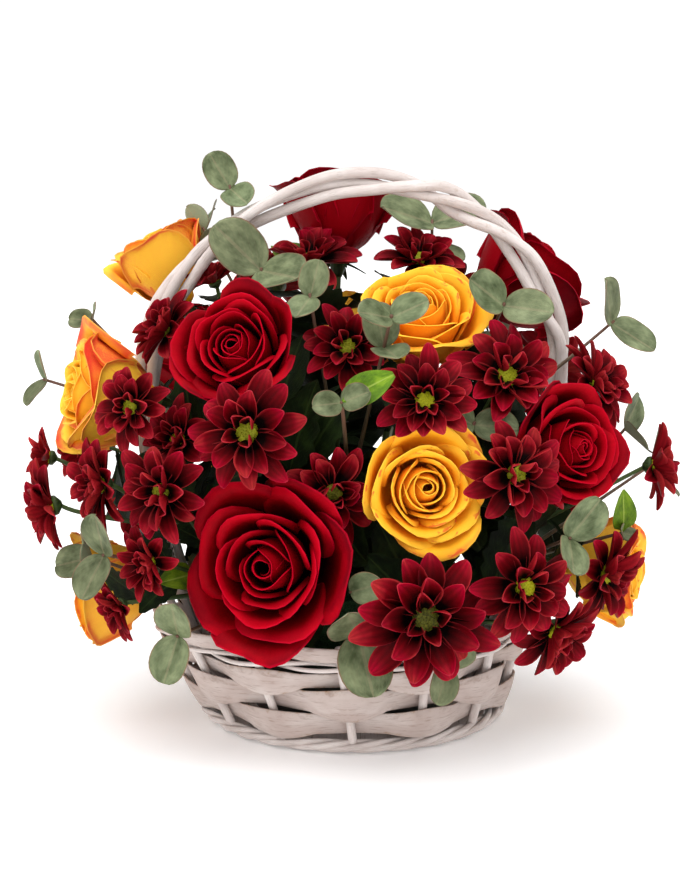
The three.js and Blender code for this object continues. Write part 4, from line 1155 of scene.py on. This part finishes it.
def ligule(length, width, lift, curl, spoon, point, character):
    """A spoon-shaped petal from its root at the origin, out along +X and lifted by an angle in degrees."""
    v = LIGULE_ALONG
    u = LIGULE_ACROSS[None, :]
    half = width / 2 * np.sin(np.pi * (0.11 + 0.52 * v)) * (0.03 + 0.97 * (1 - v**point) ** 0.62)
    bend = np.radians(lift + curl * v + 12 * character[0] * (v - 0.4) + 8 * character[1])
    steps = np.diff(v, prepend=0) * length
    x = np.cumsum(steps * np.cos(bend))
    z = np.cumsum(steps * np.sin(bend))
    groove = 0.035 * width * np.cos(u * 2.2 * np.pi)
    rise = half[:, None] * (spoon * u**2) + groove * np.sin(np.pi * v)[:, None] ** 0.5
    across = half[:, None] * u * (1 - 0.16 * spoon * u**2)
    twist = (0.16 + 0.4 * character[3] * v)[:, None]
    y = across * np.cos(twist) - rise * np.sin(twist) + 0.06 * length * character[2] * (v**2)[:, None]
    rise = across * np.sin(twist) + rise * np.cos(twist)
    x, z, bend = x[:, None], z[:, None], bend[:, None]
    return np.stack([x - rise * np.sin(bend), y, z + rise * np.cos(bend)], 2)


def head(shape, owner, centre, diameter, look, cup):
    turn = standing(facing(look))
    fewer = int(diameter < SMALL_HEAD)
    for count, reach, flat, cupped, curl, spoon, point, root, seat, width, start in HEAD_RINGS:
        count = count - fewer + int(RNG.integers(0, 2))
        for k in range(count):
            character = RNG.uniform(-1, 1, 4)
            spin = 2 * math.pi * (k + start + 0.26 * RNG.uniform(-1, 1)) / count
            lift = lerp(flat, cupped, LOOSENED * cup) + 13 * RNG.uniform(-1, 1)
            size = 1 + 0.12 * RNG.uniform(-1, 1)
            step = 0.012 * (k % 2)
            c, s = math.cos(spin), math.sin(spin)
            wheel = np.array([[c, s, 0], [-s, c, 0], [0, 0, 1]])

            def made(bend):
                more, share = bend
                length = (reach * share * size - root) * diameter
                grid = ligule(length, width * diameter, lift + more, curl, spoon, point, character)
                grid = grid + vec((root * diameter, 0, (seat + step) * diameter))
                return grid @ wheel @ turn.T + vec(centre)

            grid = first_clear(BENDS, made, owner, owner + "_branches")
            if grid is None:
                grid = made(BENDS[-1])
            size = (reach * diameter, width * diameter / 2)
            blade(shape, grid, LIGULE_THICKNESS, LIGULE_ALONG, LIGULE_ACROSS, LIGULE_LAYER, 0, size)
            remember(owner, grid)
    disc(shape, vec(centre), turn, diameter)


def disc(shape, centre, turn, diameter):
    radius = DISC_SHARE * diameter
    ripe = RIPE if diameter > RIPE_HEAD else RNG.uniform(0.0, 0.7)
    lathe(shape, [(r * radius, z * diameter) for r, z in DISC_CUP], 14, centre, turn, 1)
    lathe(shape, [(r * radius, z * diameter) for r, z in DISC_CAP], 14, centre, turn, 2, ripe)
    for k in range(FLORETS):
        share = math.sqrt((k + 0.5) / FLORETS)
        r = radius * share * 1.02
        z = (0.045 - 0.04 * share**2.5) * diameter
        spin = k * GOLDEN
        floret = centre + turn @ vec((r * math.cos(spin), r * math.sin(spin), z))
        lean = turn @ unit(vec((share * math.cos(spin), share * math.sin(spin), 1.3)))
        bead(shape, floret, lean, 0.085 * radius + 0.02 * radius * share, 0.16 * radius, ripe)


def bead(shape, centre, axis, radius, height, layer):
    side = unit(np.cross(axis, vec((0.3, 0.8, 0.5))))
    other = np.cross(axis, side)
    rim = [centre + (side * c + other * s) * radius for c, s in ((1, 0), (0, 1), (-1, 0), (0, -1))]
    points = np.array(rim + [centre + axis * height, centre - axis * height])
    faces = np.array([(k, (k + 1) % 4, 4) for k in range(4)] + [((k + 1) % 4, k, 5) for k in range(4)])
    shape.add(points, [faces], (0, 0, 0, layer), points, 2)


def spray(name, heads):
    surface = surface_of(name)
    shape = Shape()
    seats = [vec(c) - facing(look) * HEAD_SEAT * d for c, d, look, _ in heads]
    node = forked(shape, surface, seats, SPRAY_FORK, SPRAY_STEM_RADIUS)
    for seat in seats:
        path = bezier(bowed(surface, node, seat, [0.5]), np.linspace(0, 1, 12))
        tube(shape, path, np.linspace(*(SPRAY_BRANCH_RADIUS * s for s in SPRAY_TAPER), 12), TWIG_SIDES, 1)
        branches.append((name + "_branches", path, SPRAY_BRANCH_RADIUS, True))
    remember_shape(name + "_branches", shape)
    for one in heads:
        head(shape, name, *one)
    keep(name + "_heads", shape, [BURGUNDY, GREEN_STEM, DISC], "chrysanthemum", name)


# ---- foliage

LEAF_SPACING = 11
LEAF_BED = (0.06, 0.86)  # leaves start at this share of a branch, and take up this share of it
FOLIAGE_SIZES = (50, 40, 31, 23)
FOLIAGE_THICKNESS = 0.45
FOLIAGE_LAYER = 0.3
FOLIAGE_REACH = np.array([150.0, 122.0, 228.0])
HAND_GAP = np.array([(-32.0, -16.0, 242.0), (34.0, 16.0, 272.0)])  # two corners of the room for a hand
WALL_MARGIN, RIM_MARGIN = 12, 8
SPINS = (0, 60, -60, 120, -120, 180)
YOUNG_LEAVES = [
    # tip of a leaf, length, on the branch that passes nearest
    ((24, -124, 202), 27), ((-82, -100, 95), 26), ((140, -62, 132), 24), ((-40, 40, 262), 30),
]
YOUNG_UPWARD = np.array([0.2, -1, 0.5])
YOUNG_OPTIONS = [(s, a, n) for s in (1, 0.8, 0.6) for n in (0, 0.4, -0.4, 0.8) for a in (0, 0.4, -0.4)]
FOLIAGE_ACROSS = np.array([-1, -0.9, -0.45, 0, 0.45, 0.9, 1])
branches = []  # (owner, path, radius, whether its leaves are lobed)
twigs = []  # the same for the sprigs, which carry only young leaves


def foliage_along(lobed):
    return np.linspace(0, 1, 15 if lobed else 11)


def foliage_grid(length, lobed, character, root, direction, upward):
    """A leaf from its root, out along a direction, with its upper side towards upward."""
    v, u = foliage_along(lobed), FOLIAGE_ACROSS
    outline = np.sin(np.pi * (0.05 + 0.93 * v)) ** 0.7
    if lobed:
        half = 0.31 * length * outline * (0.72 + 0.28 * np.cos(v * 5.5 * np.pi) ** 2)
    else:
        half = 0.3 * length * outline * (1 - 0.25 * v)
    half = (half * smoothstep(0.0, 0.22, v) + 0.5)[:, None]
    x = (length * v)[:, None] + 0 * u
    z = 0.24 * half * u**2 - (0.16 * length * (1 + 0.5 * character[0]) * v**2)[:, None]
    z = z + 0.05 * length * character[1] * (v**2)[:, None] * u
    across = unit(np.cross(upward, direction))
    lift = np.cross(direction, across)
    x, y, z = x[..., None], (half * u)[..., None], z[..., None]
    return root + x * direction + y * across + z * lift


def add_leaf(shape, grid, lobed, look, size):
    if grid is not None:
        blade(shape, grid, FOLIAGE_THICKNESS, foliage_along(lobed), FOLIAGE_ACROSS, FOLIAGE_LAYER, look, size)
        remember("foliage", grid)


def stays_within(grid):
    """Whether a leaf lies behind the flowers, out of the hand's room and inside the basket's rim."""
    outer = np.hypot(grid[..., 0] - LEAN_RIM, grid[..., 1]) > WALL_RIM_RADIUS - WALL_MARGIN
    hangs = (outer & (grid[..., 2] < RIM_HEIGHT + RIM_MARGIN)).any()
    in_gap = ((grid > HAND_GAP[0]) & (grid < HAND_GAP[1])).all(-1).any()
    return not hangs and not in_gap and (((grid - HEART) / FOLIAGE_REACH) ** 2).sum(-1).max() < 1


def foliage():
    """Green leaves along every branch, wherever there is room for one; the near-black green of most of them
    is partly painted shade in the gaps between the flowers.
    """
    shape = Shape()
    young_leaves(shape)
    first, bed = LEAF_BED
    for owner, path, radius, lobed in branches:
        tangents, normals = frames(path)
        length = np.linalg.norm(np.diff(path, axis=0), axis=1).sum()
        count = max(int(bed * length / LEAF_SPACING), 2)
        start = RNG.uniform(0, 2 * math.pi)
        for j in range(count):
            k = int(round((first + bed * (j + 0.5) / count) * (len(path) - 1)))
            character = RNG.uniform(-1, 1, 3)

            def made(option):
                size, more = option
                out = spun(normals[k], tangents[k], start + j * GOLDEN + math.radians(more))
                direction = unit(out + (0.55 + 0.3 * character[2]) * tangents[k])
                root = path[k] + out * radius * 0.5
                return foliage_grid(size, lobed, character, root, direction, tangents[k])

            grids = (made((size, more)) for size in FOLIAGE_SIZES for more in SPINS)
            grid = next((g for g in grids if stays_within(g) and is_clear(g, owner)), None)
            add_leaf(shape, grid, lobed, 0, (40, 12))
    keep("foliage_leaves", shape, [FOLIAGE_DARK_AS_SHADE, YOUNG], "leaf")


def young_leaves(shape):
    carriers = branches + twigs
    for tip, length in YOUNG_LEAVES:
        tip = vec(tip)
        # The spot on a branch whose distance from the tip comes nearest to the leaf's length.
        spots = [
            (abs(np.linalg.norm(p - tip) - length), b, k)
            for b, carrier in enumerate(carriers) for k, p in enumerate(carrier[1])
        ]
        _, b, k = min(spots, key=lambda spot: spot[0])
        owner, path, radius, _ = carriers[b]
        character = RNG.uniform(-1, 1, 3)

        def made(option):
            size, aside, lean = option
            direction = unit(unit(tip - path[k]) + vec((aside, -lean, lean)))
            root = path[k] + direction * radius * 0.5
            return foliage_grid(length * size, False, character, root, direction, YOUNG_UPWARD)

        add_leaf(shape, first_clear(YOUNG_OPTIONS, made, owner), False, 1, (length, 10))


# ---- eucalyptus

EUCALYPTUS_THICKNESS = 0.6
PAIR_FOUND = 1.2  # how far off a pair's key points may be on average if the node has it
LEAF_ALONG = np.linspace(0, 1, 14)
LEAF_ACROSS = np.array([-1, -0.93, -0.66, -0.33, -0.06, 0.06, 0.33, 0.66, 0.93, 1])
LEAF_KEYS = [(0.3, -0.38, 0.1), (0.76, -0.35, 0.09), (1, 0, 0.02), (0.76, 0.35, 0.09), (0.3, 0.38, 0.1)]
# (share of the size, lift in degrees), tried until a leaf is clear
LEAF_DODGES = [(s, n) for n in (0, 14, -14, 28, -28) for s in (1, 0.93, 0.86)]
LEAF_DODGES += [(0.7, n) for n in (0, 20, -20, 40, -40)]


def leaf_frame(along, roll, opening):
    side = np.cross(UP, along)
    side = vec((1, 0, 0)) if np.linalg.norm(side) < 0.05 else unit(side)
    side = spun(side, along, math.radians(roll))
    across = np.cross(along, side)
    direction = spun(side, across, -math.radians(90 - opening))
    return direction, across, -np.cross(across, direction)


def leaf_pair(shape, owner, surface, base, along, roll, length):
    """Two leaves across a twig, as the node has them, or none where it has none."""

    def lobes(option):
        more_roll, more, size = option
        for half in (0, 180):
            yield *leaf_frame(along, roll + more_roll + half, LEAF_OPENING + more), length * size

    def keys(option):
        return [
            base + (direction * x + across * y + out * z) * size
            for direction, across, out, size in lobes(option)
            for x, y, z in LEAF_KEYS
        ]

    option, off = closest(surface, PAIR_OPTIONS, keys)
    if off > PAIR_FOUND:
        return
    for direction, across, out, size in lobes(option):
        grid = leaf_grid(size)

        def made(dodge):
            share, lift = dodge
            ahead = spun(direction, across, math.radians(lift))
            above = spun(out, across, math.radians(lift))
            return base + (grid[..., :1] * ahead + grid[..., 1:2] * across + grid[..., 2:] * above) * share

        kept = first_clear(LEAF_DODGES, made, owner)
        if kept is not None:
            blade(shape, kept, EUCALYPTUS_THICKNESS, LEAF_ALONG, LEAF_ACROSS, 0.5, 0, (size, 0.4 * size))


def leaf_grid(size):
    character = RNG.uniform(-1, 1, 3)
    x = (0.5 - 0.5 * np.cos(np.pi * LEAF_ALONG))[:, None]
    u = LEAF_ACROSS[None, :]
    half = 0.395 * np.sqrt(1 - np.abs(2 * x - 1) ** 2.3) + 0.02
    z = 0.1 * np.abs(u) ** 1.2 * (half / 0.4) + 0.02 * np.sin(7 * x + 3 * character[0]) * np.abs(u)
    z = z + 0.05 * character[1] * x**2 * u - 0.02 * np.exp(-((u / 0.08) ** 2)) * (1 - x)
    return np.stack([x + 0 * u, half * u, z], 2) * size


def sprig(name, parts):
    surface = surface_of(name)
    shape = Shape()
    node = forked(shape, surface, [vec(part[0]) for part in parts], SPRIG_FORK, SPRIG_STEM_RADIUS)
    for tip, pairs, length, roll, look in parts:
        corners = bowed(surface, node, vec(tip), [1 / 3, 2 / 3])
        path = bezier(corners, np.linspace(0, 1, 16))
        tube(shape, path, np.linspace(*SPRIG_TAPER, 16) * SPRIG_BRANCH_RADIUS, TWIG_SIDES, 1)
        twigs.append((name, path, SPRIG_BRANCH_RADIUS, False))
        fine = bezier(corners, np.linspace(0, 1, 200))
        total = np.linalg.norm(np.diff(fine, axis=0), axis=1).sum()
        for p in range(pairs):
            share = 0.985 - p * PAIR_SPACING / total
            base = bezier(corners, share)
            tangent = unit(bezier(corners, share + 0.005) - bezier(corners, share - 0.005))
            along = unit(lerp(tangent, facing(look), NOD))
            leaf_pair(shape, name, surface, base, along, roll + 90 * p, length * (1 + 0.12 * p))
    settle(name + "_leaves", shape, [EUCALYPTUS, TWIG], "leaf", name)


# ---- stage

LENS = 73.7  # for a sensor of 36 mm
EYE = (0, -0.95, 0.30)
TARGET = (0, 0, 0.15)
HORIZON_BAND = (0.12, 0.34)
FLOOR_REACH, FLOOR_STEPS = 4, 41


def aim(thing, direction):
    thing.rotation_euler = Vector(direction).to_track_quat("-Z", "Y").to_euler()


def camera():
    made = bpy.data.cameras.new("camera")
    made.lens = LENS
    made.sensor_width = 36
    made.clip_start = 0.01
    made.clip_end = 50
    eye = add_object("camera", made)
    eye.location = EYE
    aim(eye, Vector(TARGET) - eye.location)
    bpy.context.scene.camera = eye


def sun(name, azimuth, elevation, spread, strength):
    """A broad soft lamp; azimuth counts from the front to the right, in degrees."""
    lamp = bpy.data.lights.new(name, "SUN")
    lamp.angle = math.radians(spread)
    lamp.energy = strength
    aim(add_object(name, lamp), -facing((azimuth, elevation)))


def world(level, sky):
    """A studio that is white round the horizon and dimmer overhead."""
    bpy.context.scene.world = bpy.data.worlds.new("studio")
    look = Look(bpy.context.scene.world, "Background", Color=(1, 1, 1, 1))
    height = look.node("SeparateXYZ", {0: look.node("TexCoord", {}, "Generated")}, 2)
    look.feed(look.shader.inputs["Strength"], look.spread(height, *HORIZON_BAND, level, sky))


def floor():
    look = material(
        "floor", Base_Color=(0.96, 0.955, 0.955, 1), Roughness=0.7, Specular_IOR_Level=0.2,
        Emission_Color=(1, 1, 1, 1), Emission_Strength=0.15,
    )
    across = np.linspace(-FLOOR_REACH, FLOOR_REACH, FLOOR_STEPS)
    x, y = np.meshgrid(across, across, indexing="ij")
    points = np.stack([x, y, 0 * x], 2).reshape(-1, 3)
    mesh = bpy.data.meshes.new("floor")
    mesh.from_pydata(points.tolist(), [], quad_net(FLOOR_STEPS, FLOOR_STEPS)[:, ::-1].tolist())
    mesh.materials.append(look.data)
    add_object("floor", mesh)


# ---- the arrangement

camera()
floor()
world(level=1.03, sky=0.5)
sun("key", azimuth=-6, elevation=82, spread=80, strength=2.9)
sun("fill", azimuth=-20, elevation=30, spread=120, strength=1.0)

DISC = disc_look()
base_board()
stakes_and_foot()
for number, row in enumerate(CHIP_ROWS):
    chip_row(*row, number)
weaver("rim_weaver_1", 1)
weaver("rim_weaver_2", -1)
handle_rods()
liner()
foam = frame["nodes"]["foam_block"]
foam.data.materials.clear()
foam.data.materials.append(foam_look())
for make in (rose, rose_stem):
    for kind, group in ROSES.items():
        for number, one in enumerate(group, 1):
            make(f"{kind}_{number}", *one)
for number, heads in enumerate(SPRAYS, 1):
    spray(f"chrysanthemum_spray_{number}", heads)
for number, parts in enumerate(SPRIGS, 1):
    sprig(f"eucalyptus_sprig_{number}", parts)
foliage()

bpy.context.scene.view_settings.view_transform = "Standard"
